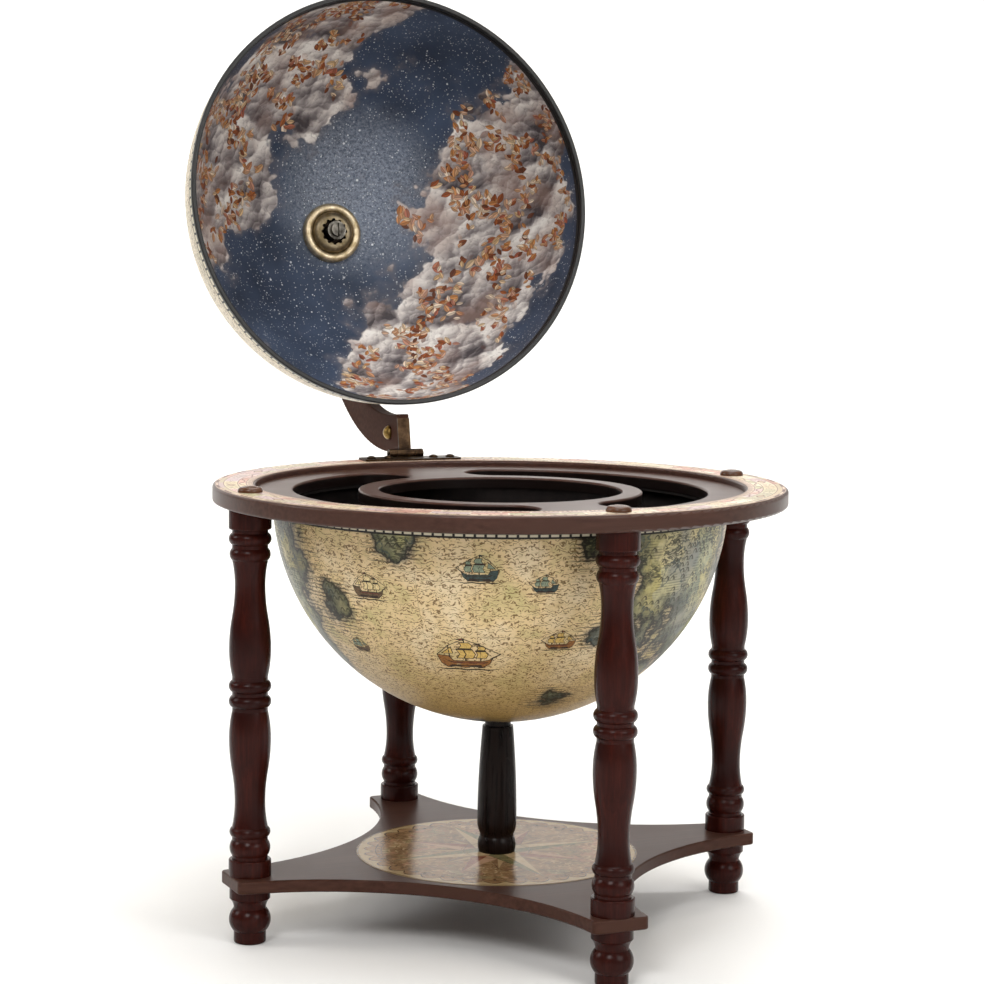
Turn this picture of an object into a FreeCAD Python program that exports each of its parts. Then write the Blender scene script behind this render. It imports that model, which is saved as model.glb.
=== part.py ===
"""Floor globe bar: a globe on a four-legged turned stand, its upper half a hinged lid.

Millimetres, +Z up. The origin is on the floor, on the stand's axis. The hinge is at the back, +Y,
and a leg stands under each end of the X and Y axes. The lid is drawn closed, then laid open and turned
round the stand's axis with its hinge, which stands a little round from the back leg.
"""
import FreeCAD, Part
import os
from math import asin, cos, degrees, radians, sin, sqrt

# Heights of the stand, from the floor up
foot_height = 39.5
shelf_thickness = 9.0
leg_length = 259.5
ring_thickness = 12.0

# Globe
globe_radius = 165.0
globe_wall = 3.0
bowl_centre_rise = 4.5
flange_thickness = 3.0
flange_step = 1.5
well_floor_rise = 23.5
well_floor_thickness = 6.0
seat_clearance = 0.1

# Table board round the globe
slot_rim = 15.0
slot_width = 47.0
slot_web_width = 49.0
well_web = 15.0
rebate_gap = 10.7
rebate_depth = 4.0
rebate_lip_round = 1.5
horizon_width = 29.0
horizon_inset = 2.0
ring_edge_round = 2.0
opening_round = 1.5
print_thickness = 0.3

# Shelf
leg_inset = 17.0
compass_radius = 103.0
compass_margin = 8.0
corner_half_width = 20.5
corner_round = 4.0
shelf_edge_round = 1.2

# Turned legs: radii and heights of the turnings, from the shelf up
leg_radius = 15.0
leg_base_height = 12.0
leg_top_height = 13.5
leg_edge_round = 1.2
bead_radius = 15.0
small_bead_radius = 14.4
bead_height = 8.5
base_bead_height = 11.0
collar_bead_height = 7.0
groove_radius = 12.6
groove_height = 2.4
neck_radius = 10.7
belly_radius = 14.8
lower_vase_height = 83.0
neck_distance = 17.5
belly_distance = 19.5

# Turned feet, from the floor up
foot_tip_radius = 11.4
foot_tip_height = 8.5
foot_edge_round = 1.5
foot_bulge_radius = 14.8
foot_bulge_height = 16.5
foot_neck_radius = 11.4
foot_cove_height = 7.0
foot_collar_radius = 14.4

# Turned centre post, from the shelf up
post_foot_radius = 13.2
post_bead_radius = 14.0
post_bead_height = 11.5
post_groove_radius = 12.4
post_groove_height = 1.6
post_belly_radius = 14.4
post_belly_rise = 9.0
post_top_radius = 11.3
post_collar_radius = 9.5
post_collar_height = 5.0

# Fastenings of the stand
hole_clearance = 0.15
bolt_radius = 3.0
bolt_grip = 32.0
bolt_head_radius = 5.0
bolt_head_height = 2.2
cap_radius = 8.7
cap_shoulder_radius = 5.8
cap_shoulder_height = 3.8
cap_height = 4.5
cap_clearance = 0.2
stud_radius = 4.0
stud_grip = 22.0
wood_screw_radius = 2.0
wood_screw_head_radius = 3.6
wood_screw_head_height = 2.2
wood_screw_grip = 6.0
bowl_screw_count = 6
post_screw_radius = 2.5
post_screw_head_radius = 5.0
post_screw_head_height = 3.4
post_screw_grip = 30.0
post_washer_radius = 7.5
post_washer_thickness = 1.5
head_skirt = 0.8

# Lid
lid_open_angle = 100.7
lid_centre_rise = 0.4
rim_overhang = 1.3
rim_inset = 2.6
rim_height = 4.4
rim_seat_gap = 0.4
rim_round = 1.0

# Meridian board
meridian_gap = 8.0
meridian_width = 30.0
meridian_thickness = 10.0
meridian_edge_round = 1.2

# Hinge between the table board and the meridian board
hinge_turn = -2.4
hinge_offset = 1.5
knuckle_radius = 3.5
knuckle_lift = 0.3
knuckle_gap = 0.4
strap_knuckle_half = 7.2
leaf_knuckle_length = 6.6
hinge_pin_radius = 1.5
pin_clearance = 0.05
pin_end = 0.8
leaf_half_length = 40.0
leaf_depth = 22.0
leaf_thickness = 1.5
leaf_corner_round = 3.0
leaf_screw_places = (19.0, 33.0)
leaf_screw_from_axis = 13.0
leaf_relief = 0.5
strap_lift = 0.1
strap_depth = 28.0
tongue_thickness = 2.0
tongue_from_axis = 8.5
tongue_depth = 19.0
tongue_length = 36.0
tongue_clearance = 0.1
cross_bolt_radius = 2.5
cross_bolt_from_axis = 19.0
cross_bolt_rise = 20.0
dome_radius = 5.6
dome_height = 5.0
dome_skirt = 1.2

# Fittings at the lid's pole
pole_screw_radius = 3.0
pole_clearance = 0.05
lid_running_gap = 0.3
bush_radius = 8.0
rosette_radius = 25.3
rosette_flange = 2.6
rosette_dome_radius = 17.9
rosette_step = 1.0
rosette_height = 6.5
rosette_lip_radius = 12.8
recess_radius = 10.0
recess_floor = 3.0
scallop_count = 12
scallop_radius = 1.5
sleeve_radius = 6.6
sleeve_length = 13.5
pole_washer_radius = 8.0
pole_washer_thickness = 1.4
pole_head_radius = 5.75
pole_head_height = 4.0
head_slot_width = 1.6
head_slot_depth = 1.8
knob_base_radius = 7.5
knob_base_height = 3.0
knob_neck_radius = 5.5
knob_neck_height = 3.0
knob_radius = 10.5
knob_ball_height = 16.0
knob_bore_depth = 12.0

# Levels and radii that follow from the sizes above
shelf_top = foot_height + shelf_thickness
compass_top = shelf_top + print_thickness
ring_underside = shelf_top + leg_length
ring_top = ring_underside + ring_thickness
print_top = ring_top + print_thickness
rebate_level = ring_top - rebate_depth
bowl_centre = ring_underside + bowl_centre_rise
bowl_bottom = bowl_centre - globe_radius
post_top = bowl_bottom - post_collar_height
flange_low = ring_underside - flange_thickness
globe_inner = globe_radius - globe_wall
slot_outer = globe_radius - slot_rim
slot_middle = slot_outer - slot_width / 2
slot_inner = slot_outer - slot_width
well_radius = slot_inner - well_web
flange_inner = slot_outer + flange_step
rim_outer = globe_radius + rim_overhang
rim_inner = globe_radius - rim_inset
rebate_radius = rim_outer + rebate_gap
ring_radius = rebate_radius + horizon_width + ring_edge_round
leg_circle = ring_radius - leg_inset
shelf_reach = leg_circle + leg_radius
shelf_waist = compass_radius + compass_margin
meridian_inner = globe_radius + meridian_gap
meridian_outer = meridian_inner + meridian_width
meridian_middle = (meridian_inner + meridian_outer) / 2
hinge_y = meridian_outer + hinge_offset
hinge_z = print_top + knuckle_radius + knuckle_lift
leaf_top = print_top + leaf_thickness
strap_bottom = hinge_z + strap_lift
strap_top = strap_bottom + leaf_thickness
lid_centre = ring_top + lid_centre_rise
rim_bottom = rebate_level + rim_seat_gap
rim_top = rim_bottom + rim_height

ORIGIN = FreeCAD.Vector(0, 0, 0)
X_AXIS = FreeCAD.Vector(1, 0, 0)
Z_AXIS = FreeCAD.Vector(0, 0, 1)
FULL_TURN = 360
HALF_TURN = 180
QUARTER_TURN = 90
LEG_ANGLES = {"front": -QUARTER_TURN, "right": 0, "back": QUARTER_TURN, "left": HALF_TURN}
LEVEL_TOLERANCE = 0.001


class Outline:
    """A half section in the XZ plane, drawn edge by edge as (radius, height)."""

    def __init__(self, radius, height):
        self.start = FreeCAD.Vector(radius, 0, height)
        self.here = self.start
        self.edges = []

    def line(self, radius, height):
        end = FreeCAD.Vector(radius, 0, height)
        if end.distanceToPoint(self.here) > LEVEL_TOLERANCE:
            self.edges.append(Part.LineSegment(self.here, end).toShape())
            self.here = end
        return self

    def up(self, height):
        return self.line(self.here.x, self.here.z + height)

    def arc(self, via, end):
        via = FreeCAD.Vector(via[0], 0, via[1])
        end = FreeCAD.Vector(end[0], 0, end[1])
        self.edges.append(Part.Arc(self.here, via, end).toShape())
        self.here = end
        return self

    def arc_about(self, centre, end):
        """The shorter arc about a centre."""
        centre = FreeCAD.Vector(centre[0], 0, centre[1])
        spoke = self.here - centre
        middle = spoke + FreeCAD.Vector(end[0], 0, end[1]) - centre
        middle.normalize()
        via = centre + middle * spoke.Length
        return self.arc((via.x, via.z), end)

    def bow(self, radius, height, upright_end=False):
        """An arc that runs parallel to the axis at its start, or at its end."""
        far = FreeCAD.Vector(radius, 0, height)
        upright, other = (far, self.here) if upright_end else (self.here, far)
        chord = other - upright
        centre_radius = upright.x + chord.Length ** 2 / (2 * chord.x)
        return self.arc_about((centre_radius, upright.z), (radius, height))

    def bead(self, height, radius):
        root = self.here
        return self.arc((radius, root.z + height / 2), (root.x, root.z + height))

    def dome(self, top):
        """A spherical cap that closes on the axis."""
        rise = top - self.here.z
        cap = (self.here.x ** 2 + rise ** 2) / (2 * rise)
        return self.arc_about((0, top - cap), (0, top))

    def solid(self):
        self.line(self.start.x, self.start.z)
        face = Part.Face(Part.Wire(self.edges))
        return face.revolve(ORIGIN, Z_AXIS, FULL_TURN)


def cylinder(radius, low, high, place=ORIGIN):
    """An upright cylinder between two heights."""
    return Part.makeCylinder(radius, high - low, FreeCAD.Vector(place.x, place.y, low))


def cross_cylinder(radius, low, high, y, z):
    """A cylinder along X between two places."""
    return Part.makeCylinder(radius, high - low, FreeCAD.Vector(low, y, z), X_AXIS)


def block(low, high):
    size = FreeCAD.Vector(*high) - FreeCAD.Vector(*low)
    return Part.makeBox(size.x, size.y, size.z, FreeCAD.Vector(*low))


def ball(radius, height):
    return Part.makeSphere(radius, FreeCAD.Vector(0, 0, height))


def polar(radius, angle, height=0.0):
    return FreeCAD.Vector(radius * cos(radians(angle)), radius * sin(radians(angle)), height)


def moved(shape, place):
    copy = shape.copy()
    copy.translate(place)
    return copy


def turned(shape, angle, axis=Z_AXIS, centre=ORIGIN):
    placement = FreeCAD.Placement(ORIGIN, FreeCAD.Rotation(axis, angle), centre)
    return shape.transformed(placement.toMatrix(), True)


def upside_down(shape):
    return turned(shape, HALF_TURN, X_AXIS)


def laid_open(shape):
    """From the closed lid to its open rest pose, about the hinge pin."""
    return turned(shape, -lid_open_angle, X_AXIS, FreeCAD.Vector(0, hinge_y, hinge_z))


def set_round(shape):
    """From straight behind the stand to the hinge's own place round the board."""
    return turned(shape, hinge_turn)


def off_axis(radius, distance):
    """Height of a circle over a chord at this distance from its centre."""
    return sqrt(radius ** 2 - distance ** 2)


def rounded(shape, radius, chosen):
    return shape.makeFillet(radius, [edge for edge in shape.Edges if chosen(edge)])


def is_level(edge, height):
    extent = edge.BoundBox
    return max(abs(extent.ZMin - height), abs(extent.ZMax - height)) < LEVEL_TOLERANCE


def is_upright(edge):
    extent = edge.BoundBox
    return max(extent.XLength, extent.YLength) < LEVEL_TOLERANCE < extent.ZLength


def pan_screw(radius, length, head_radius, head_height):
    """Head standing on the XY plane, pointed shank below it."""
    outline = Outline(0, -length)
    outline.line(radius, radius - length).line(radius, 0)
    outline.line(head_radius, 0).up(head_skirt).dome(head_height)
    return outline.solid()


def washer(radius, hole, low, high):
    return cylinder(radius, low, high).cut(cylinder(hole, low, high))


def drilled(shape, radius, low, high, places):
    for place in places:
        shape = shape.cut(cylinder(radius, low, high, place))
    return shape


upper_washer_low = bowl_centre - off_axis(globe_inner - seat_clearance, post_washer_radius)
lower_washer_low = foot_height - post_washer_thickness
rosette_edge = lid_centre + off_axis(globe_inner - seat_clearance, rosette_radius)
rosette_flange_low = rosette_edge - rosette_flange
rosette_lip = rosette_flange_low - rosette_height
recess_level = lid_centre + globe_inner - recess_floor
sleeve_top = recess_level - lid_running_gap
sleeve_low = sleeve_top - sleeve_length
pole_washer_low = sleeve_low - pole_washer_thickness
pole_screw_face = pole_washer_low - pole_head_height
leg_places = [polar(leg_circle, angle) for angle in LEG_ANGLES.values()]
back_leg = polar(leg_circle, LEG_ANGLES["back"])
capped_legs = [polar(leg_circle, angle) for side, angle in LEG_ANGLES.items() if side != "back"]
bowl_screw_circle = (flange_inner + globe_inner) / 2
bowl_screw_step = FULL_TURN / bowl_screw_count
bowl_screw_places = [
    polar(bowl_screw_circle, bowl_screw_step * (index + 1 / 2)) for index in range(bowl_screw_count)
]
leaf_screw_y = hinge_y - leaf_screw_from_axis
leaf_holes = [
    FreeCAD.Vector(side * place, leaf_screw_y, 0) for side in (-1, 1) for place in leaf_screw_places
]
hinge_rotation = FreeCAD.Rotation(Z_AXIS, hinge_turn)
hinge_screw_places = [hinge_rotation.multVec(hole) for hole in leaf_holes]


# Table board: a round board with a well, two kidney slots and a sunk seat for the lid
def kidney_face(middle_angle):
    web_angle = degrees(asin((slot_width + slot_web_width) / 2 / slot_middle))
    half_span = QUARTER_TURN - web_angle
    low, high = middle_angle - half_span, middle_angle + half_span
    end_reach = slot_width / 2
    low_tip = polar(slot_middle, low) + polar(end_reach, low - QUARTER_TURN)
    high_tip = polar(slot_middle, high) + polar(end_reach, high + QUARTER_TURN)
    arcs = [
        Part.Arc(polar(slot_outer, low), polar(slot_outer, middle_angle), polar(slot_outer, high)),
        Part.Arc(polar(slot_outer, high), high_tip, polar(slot_inner, high)),
        Part.Arc(polar(slot_inner, high), polar(slot_inner, middle_angle), polar(slot_inner, low)),
        Part.Arc(polar(slot_inner, low), low_tip, polar(slot_outer, low)),
    ]
    return Part.Face(Part.Wire([arc.toShape() for arc in arcs]))


def make_table_ring():
    flat = ring_radius - ring_edge_round
    outline = Outline(well_radius, ring_underside).line(flat, ring_underside)
    low_round = ring_underside + ring_edge_round
    high_round = ring_top - ring_edge_round
    outline.arc_about((flat, low_round), (ring_radius, low_round))
    outline.line(ring_radius, high_round)
    outline.arc_about((flat, high_round), (flat, ring_top))
    lip_flat = rebate_radius + rebate_lip_round
    lip_low = ring_top - rebate_lip_round
    outline.line(lip_flat, ring_top)
    outline.arc_about((lip_flat, lip_low), (rebate_radius, lip_low))
    outline.line(rebate_radius, rebate_level).line(well_radius, rebate_level)
    board = outline.solid()
    for side in (LEG_ANGLES["right"], LEG_ANGLES["left"]):
        cutter = kidney_face(side).extrude(Z_AXIS * ring_top)
        board = board.cut(cutter)
    board = rounded(
        board, opening_round, lambda edge: is_level(edge, rebate_level) and edge.BoundBox.XMax < rim_inner
    )
    bolt_hole = bolt_radius + hole_clearance
    board = drilled(board, bolt_hole, ring_underside, ring_top, leg_places)
    sunk = bolt_head_height + hole_clearance
    board = drilled(board, bolt_head_radius + hole_clearance, ring_top - sunk, ring_top, [back_leg])
    screw_hole = wood_screw_radius + hole_clearance
    board = drilled(board, screw_hole, ring_underside, ring_underside + wood_screw_grip, bowl_screw_places)
    return drilled(board, screw_hole, ring_top - wood_screw_grip, ring_top, hinge_screw_places)


def make_horizon_print():
    band = washer(ring_radius - ring_edge_round, rebate_radius + horizon_inset, ring_top, print_top)
    band = drilled(band, bolt_radius + hole_clearance, ring_top, print_top, capped_legs)
    band = drilled(band, bolt_head_radius + hole_clearance, ring_top, print_top, [back_leg])
    return drilled(band, wood_screw_radius + hole_clearance, ring_top, print_top, hinge_screw_places)


# Lower hemisphere: a moulded shell with an inner flange that screws up into the table board
def make_lower_hemisphere():
    outline = Outline(0, bowl_bottom)
    outline.arc_about((0, bowl_centre), (off_axis(globe_radius, bowl_centre_rise), ring_underside))
    outline.line(flange_inner, ring_underside).line(flange_inner, flange_low)
    outline.line(off_axis(globe_inner, bowl_centre - flange_low), flange_low)
    outline.arc_about((0, bowl_centre), (0, bowl_centre - globe_inner))
    bowl = outline.solid()
    bowl = drilled(bowl, wood_screw_radius + hole_clearance, flange_low, ring_underside, bowl_screw_places)
    post_hole = post_screw_radius + hole_clearance
    return drilled(bowl, post_hole, bowl_bottom, bowl_bottom + 2 * globe_wall, [ORIGIN])


def make_bowl_screws():
    screw = upside_down(
        pan_screw(
            wood_screw_radius,
            flange_thickness + wood_screw_grip - hole_clearance,
            wood_screw_head_radius,
            wood_screw_head_height,
        )
    )
    return [moved(screw, place + Z_AXIS * flange_low) for place in bowl_screw_places]


def make_well_floor():
    low = bowl_centre - globe_inner + well_floor_rise
    top = low + well_floor_thickness
    reach = globe_inner - seat_clearance
    outline = Outline(0, low).line(off_axis(reach, bowl_centre - low), low)
    outline.arc_about((0, bowl_centre), (off_axis(reach, bowl_centre - top), top))
    outline.line(0, top)
    return outline.solid()


# Turned legs and feet
def turn_groove(outline):
    return outline.line(groove_radius, outline.here.z).up(groove_height)


def make_leg():
    outline = Outline(0, shelf_top).line(leg_radius, shelf_top).up(leg_base_height - leg_edge_round)
    shoulder = leg_radius - leg_edge_round
    outline.arc_about((shoulder, outline.here.z), (shoulder, shelf_top + leg_base_height))
    turn_groove(outline).bead(base_bead_height, small_bead_radius)
    turn_groove(outline).bead(collar_bead_height, small_bead_radius)
    lower_end = outline.here.z + lower_vase_height
    neck = outline.here.z + neck_distance
    belly = lower_end - belly_distance
    half_way = (neck_radius + belly_radius) / 2
    outline.bow(neck_radius, neck, upright_end=True)
    outline.bow(half_way, (neck + belly) / 2).bow(belly_radius, belly, upright_end=True)
    outline.bow(groove_radius, lower_end)
    turn_groove(outline).bead(bead_height, bead_radius)
    turn_groove(outline).bead(bead_height, bead_radius)
    turn_groove(outline)
    belly = outline.here.z + belly_distance
    upper_end = ring_underside - leg_top_height - 2 * (groove_height + bead_height)
    neck = upper_end - neck_distance
    outline.bow(belly_radius, belly, upright_end=True)
    outline.bow(half_way, (belly + neck) / 2).bow(neck_radius, neck, upright_end=True)
    outline.bow(groove_radius, upper_end)
    outline.bead(bead_height, small_bead_radius)
    turn_groove(outline).bead(bead_height, bead_radius)
    turn_groove(outline)
    outline.line(shoulder, outline.here.z)
    top_round = outline.here.z + leg_edge_round
    outline.arc_about((shoulder, top_round), (leg_radius, top_round))
    outline.line(leg_radius, ring_underside).line(0, ring_underside)
    leg = outline.solid()
    leg = leg.cut(cylinder(bolt_radius + hole_clearance, ring_underside - bolt_grip, ring_underside))
    return leg.cut(cylinder(stud_radius + hole_clearance, shelf_top, shelf_top + stud_grip))


def make_foot():
    tip = foot_tip_radius - foot_edge_round
    outline = Outline(0, 0).line(tip, 0)
    outline.arc_about((tip, foot_edge_round), (foot_tip_radius, foot_edge_round))
    outline.line(foot_tip_radius, foot_tip_height).bead(foot_bulge_height, foot_bulge_radius)
    outline.line(foot_neck_radius, outline.here.z)
    outline.bow(foot_collar_radius, outline.here.z + foot_cove_height)
    outline.line(foot_collar_radius, foot_height).line(0, foot_height)
    return outline.solid().cut(cylinder(stud_radius + hole_clearance, foot_height - stud_grip, foot_height))


def make_leg_bolts():
    length = ring_thickness + bolt_grip - hole_clearance
    capped = pan_screw(bolt_radius, length + print_thickness, bolt_head_radius, bolt_head_height)
    sunk = pan_screw(bolt_radius, length - bolt_head_height, bolt_head_radius, bolt_head_height)
    bolts = [moved(capped, place + Z_AXIS * print_top) for place in capped_legs]
    sunk_level = ring_top - bolt_head_height - hole_clearance
    return bolts + [moved(sunk, back_leg + Z_AXIS * sunk_level)]


def make_bolt_caps():
    hollow = Outline(0, 0).line(bolt_head_radius + cap_clearance, 0).up(head_skirt)
    hollow = hollow.dome(bolt_head_height + cap_clearance).solid()
    cap = Outline(0, 0).line(cap_radius, 0).up(head_skirt).bow(cap_shoulder_radius, cap_shoulder_height)
    cap = cap.dome(cap_height).solid().cut(hollow)
    return [moved(cap, place + Z_AXIS * print_top) for place in capped_legs]


def make_leg_studs():
    reach = stud_grip - hole_clearance
    return [cylinder(stud_radius, foot_height - reach, shelf_top + reach, place) for place in leg_places]


# Shelf: a square board set on its corners, with hollow sides
def make_shelf():
    waist = polar(shelf_waist, QUARTER_TURN / 2)
    hollow_start = FreeCAD.Vector(shelf_reach, corner_half_width, 0)
    hollow_end = FreeCAD.Vector(corner_half_width, shelf_reach, 0)
    next_corner = FreeCAD.Vector(-corner_half_width, shelf_reach, 0)
    side = [
        Part.Arc(hollow_start, waist, hollow_end).toShape(),
        Part.LineSegment(hollow_end, next_corner).toShape(),
    ]
    edges = [turned(edge, angle) for angle in LEG_ANGLES.values() for edge in side]
    face = Part.Face(Part.Wire(Part.__sortEdges__(edges)))
    board = moved(face, Z_AXIS * foot_height).extrude(Z_AXIS * shelf_thickness)
    board = rounded(board, corner_round, is_upright)
    board = rounded(
        board, shelf_edge_round, lambda edge: is_level(edge, shelf_top) or is_level(edge, foot_height)
    )
    board = drilled(board, stud_radius + hole_clearance, foot_height, shelf_top, leg_places)
    return drilled(board, post_screw_radius + hole_clearance, foot_height, shelf_top, [ORIGIN])


def make_compass_print():
    return washer(compass_radius, post_screw_radius + hole_clearance, shelf_top, compass_top)


# Centre post, screwed from inside the bowl and from under the shelf
def make_centre_post():
    outline = Outline(0, compass_top).line(post_foot_radius, compass_top)
    outline.arc(
        (post_bead_radius, compass_top + post_bead_height / 2),
        (post_groove_radius, compass_top + post_bead_height),
    )
    outline.up(post_groove_height)
    outline.bow(post_belly_radius, outline.here.z + post_belly_rise, upright_end=True)
    outline.bow(post_top_radius, post_top).line(0, post_top)
    post = outline.solid()
    hole = post_screw_radius + hole_clearance
    post = post.cut(cylinder(hole, post_top - post_screw_grip, post_top))
    return post.cut(cylinder(hole, compass_top, compass_top + post_screw_grip))


def make_post_collar():
    collar = cylinder(post_collar_radius, post_top, bowl_bottom + post_collar_height)
    collar = collar.cut(ball(globe_radius + seat_clearance, bowl_centre))
    return collar.cut(cylinder(post_screw_radius + hole_clearance, post_top, bowl_bottom))


def make_post_washers():
    hole = post_screw_radius + hole_clearance
    return [
        washer(post_washer_radius, hole, upper_washer_low, upper_washer_low + post_washer_thickness),
        washer(post_washer_radius, hole, lower_washer_low, foot_height),
    ]


def make_post_screws():
    grip = post_screw_grip - hole_clearance
    upper_seat = upper_washer_low + post_washer_thickness
    head = (post_screw_head_radius, post_screw_head_height)
    upper_screw = pan_screw(post_screw_radius, upper_seat - post_top + grip, *head)
    lower_screw = upside_down(pan_screw(post_screw_radius, compass_top - lower_washer_low + grip, *head))
    return [moved(upper_screw, Z_AXIS * upper_seat), moved(lower_screw, Z_AXIS * lower_washer_low)]


# Hinge: a base leaf on the table board, a strap let into the meridian board, and the pin
def make_hinge_base_leaf():
    inner_end = strap_knuckle_half + knuckle_gap
    outer_end = inner_end + leaf_knuckle_length
    leaf = block((-leaf_half_length, hinge_y - leaf_depth, print_top), (leaf_half_length, hinge_y, leaf_top))
    leaf = rounded(leaf, leaf_corner_round, is_upright)
    for low, high in ((-outer_end, -inner_end), (inner_end, outer_end)):
        leaf = leaf.fuse(cross_cylinder(knuckle_radius, low, high, hinge_y, hinge_z))
    relief_start = hinge_y - knuckle_radius - leaf_relief
    leaf = leaf.cut(block((-inner_end, relief_start, print_top), (inner_end, hinge_y, leaf_top)))
    bore = hinge_pin_radius + pin_clearance
    leaf = leaf.cut(cross_cylinder(bore, -outer_end, outer_end, hinge_y, hinge_z))
    leaf = drilled(leaf, wood_screw_radius + hole_clearance, print_top, leaf_top, leaf_holes)
    return set_round(leaf.removeSplitter())


def make_hinge_pin():
    half = strap_knuckle_half + knuckle_gap + leaf_knuckle_length + pin_end
    return set_round(cross_cylinder(hinge_pin_radius, -half, half, hinge_y, hinge_z))


def make_hinge_screws():
    length = leaf_top - ring_top + wood_screw_grip - hole_clearance
    screw = pan_screw(wood_screw_radius, length, wood_screw_head_radius, wood_screw_head_height)
    return [moved(screw, place + Z_AXIS * leaf_top) for place in hinge_screw_places]


def make_hinge_strap():
    half = meridian_thickness / 2
    plate = block((-half, hinge_y - strap_depth, strap_bottom), (half, hinge_y, strap_top))
    knuckle = cross_cylinder(knuckle_radius, -strap_knuckle_half, strap_knuckle_half, hinge_y, hinge_z)
    tongue_half = tongue_thickness / 2
    tongue_end = hinge_y - tongue_from_axis
    tongue = block(
        (-tongue_half, tongue_end - tongue_depth, strap_bottom),
        (tongue_half, tongue_end, strap_top + tongue_length),
    )
    strap = plate.fuse([knuckle, tongue])
    bore = hinge_pin_radius + pin_clearance
    strap = strap.cut(cross_cylinder(bore, -strap_knuckle_half, strap_knuckle_half, hinge_y, hinge_z))
    return strap.cut(cross_bolt_hole(tongue_half)).removeSplitter()


def cross_bolt_place():
    return hinge_y - cross_bolt_from_axis, strap_top + cross_bolt_rise


def cross_bolt_hole(half):
    return cross_cylinder(cross_bolt_radius + hole_clearance, -half, half, *cross_bolt_place())


def make_hinge_cross_bolt():
    half = meridian_thickness / 2
    return cross_cylinder(cross_bolt_radius, -half, half, *cross_bolt_place())


def make_hinge_dome_nuts():
    nut = Outline(0, 0).line(dome_radius, 0).up(dome_skirt).dome(dome_height).solid()
    y, z = cross_bolt_place()
    place = FreeCAD.Vector(meridian_thickness / 2, y, z)
    right = moved(turned(nut, QUARTER_TURN, FreeCAD.Vector(0, 1, 0)), place)
    return [right, right.mirror(ORIGIN, X_AXIS)]


# Meridian board: a flat arc from the hinge to just past the pole
def make_meridian_board():
    half = meridian_thickness / 2
    foot_rise = strap_top - lid_centre
    lean = QUARTER_TURN / 2

    def at(radius, angle):
        return FreeCAD.Vector(-half, radius * cos(radians(angle)), lid_centre + radius * sin(radians(angle)))

    outer_foot = FreeCAD.Vector(-half, off_axis(meridian_outer, foot_rise), strap_top)
    inner_foot = FreeCAD.Vector(-half, off_axis(meridian_inner, foot_rise), strap_top)
    outer_end, inner_end = at(meridian_outer, QUARTER_TURN), at(meridian_inner, QUARTER_TURN)
    end_tip = at(meridian_middle, QUARTER_TURN) - FreeCAD.Vector(0, meridian_width / 2, 0)
    edges = [
        Part.Arc(outer_foot, at(meridian_outer, lean), outer_end),
        Part.Arc(outer_end, end_tip, inner_end),
        Part.Arc(inner_end, at(meridian_inner, lean), inner_foot),
        Part.LineSegment(inner_foot, outer_foot),
    ]
    face = Part.Face(Part.Wire([edge.toShape() for edge in edges]))
    board = face.extrude(X_AXIS * meridian_thickness)
    board = rounded(
        board,
        meridian_edge_round,
        lambda edge: edge.BoundBox.XLength < LEVEL_TOLERANCE and not is_level(edge, strap_top),
    )
    slot_half = tongue_thickness / 2 + tongue_clearance
    slot_end = hinge_y - tongue_from_axis + tongue_clearance
    slot = block(
        (-slot_half, slot_end - tongue_depth - 2 * tongue_clearance, strap_top),
        (slot_half, slot_end, strap_top + tongue_length + tongue_clearance),
    )
    knuckle_room = cross_cylinder(knuckle_radius + hole_clearance, -half, half, hinge_y, hinge_z)
    pole_hole = cylinder(
        pole_screw_radius + pole_clearance,
        lid_centre + globe_radius,
        lid_centre + meridian_outer + meridian_gap,
    )
    return board.cut([slot, knuckle_room, cross_bolt_hole(half), pole_hole])


# Upper hemisphere, its rim hoop and the fittings at its pole
def make_upper_hemisphere():
    rise = rim_top - lid_centre
    outline = Outline(off_axis(globe_radius, rise), rim_top)
    outline.arc_about((0, lid_centre), (0, lid_centre + globe_radius))
    outline.line(0, lid_centre + globe_inner)
    outline.arc_about((0, lid_centre), (off_axis(globe_inner, rise), rim_top))
    hole = cylinder(pole_screw_radius + pole_clearance, lid_centre, lid_centre + meridian_inner)
    return outline.solid().cut(hole)


def make_lid_rim():
    hoop = washer(rim_outer, rim_inner, rim_bottom, rim_top)
    return rounded(
        hoop, rim_round, lambda edge: is_level(edge, rim_bottom) or edge.BoundBox.XMax > globe_radius
    )


def make_pole_rosette():
    outline = Outline(0, lid_centre + globe_inner - seat_clearance)
    outline.arc_about((0, lid_centre), (rosette_radius, rosette_edge))
    outline.line(rosette_radius, rosette_flange_low)
    outline.bow(rosette_dome_radius, rosette_flange_low - rosette_step)
    outline.bow(rosette_lip_radius, rosette_lip)
    outline.line(0, rosette_lip)
    rosette = outline.solid()
    recess = cylinder(recess_radius, rosette_lip, recess_level)
    scallop = cylinder(scallop_radius, rosette_lip, recess_level, FreeCAD.Vector(recess_radius, 0, 0))
    scallops = [turned(scallop, FULL_TURN * index / scallop_count) for index in range(scallop_count)]
    bore = cylinder(pole_screw_radius + pole_clearance, rosette_lip, lid_centre + globe_inner)
    return rosette.cut(recess.fuse(scallops)).cut(bore).removeSplitter()


def make_pole_sleeve():
    return washer(sleeve_radius, pole_screw_radius + pole_clearance, sleeve_low, sleeve_top)


def make_pole_washer():
    return washer(pole_washer_radius, pole_screw_radius + pole_clearance, pole_washer_low, sleeve_low)


def make_pole_screw():
    end = lid_centre + meridian_outer + knob_bore_depth - hole_clearance
    head = cylinder(pole_head_radius, pole_screw_face, pole_washer_low)
    slot_half = head_slot_width / 2
    slot = block(
        (-slot_half, -pole_head_radius, pole_screw_face),
        (slot_half, pole_head_radius, pole_screw_face + head_slot_depth),
    )
    return head.fuse(cylinder(pole_screw_radius, pole_washer_low, end)).cut(slot)


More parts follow.
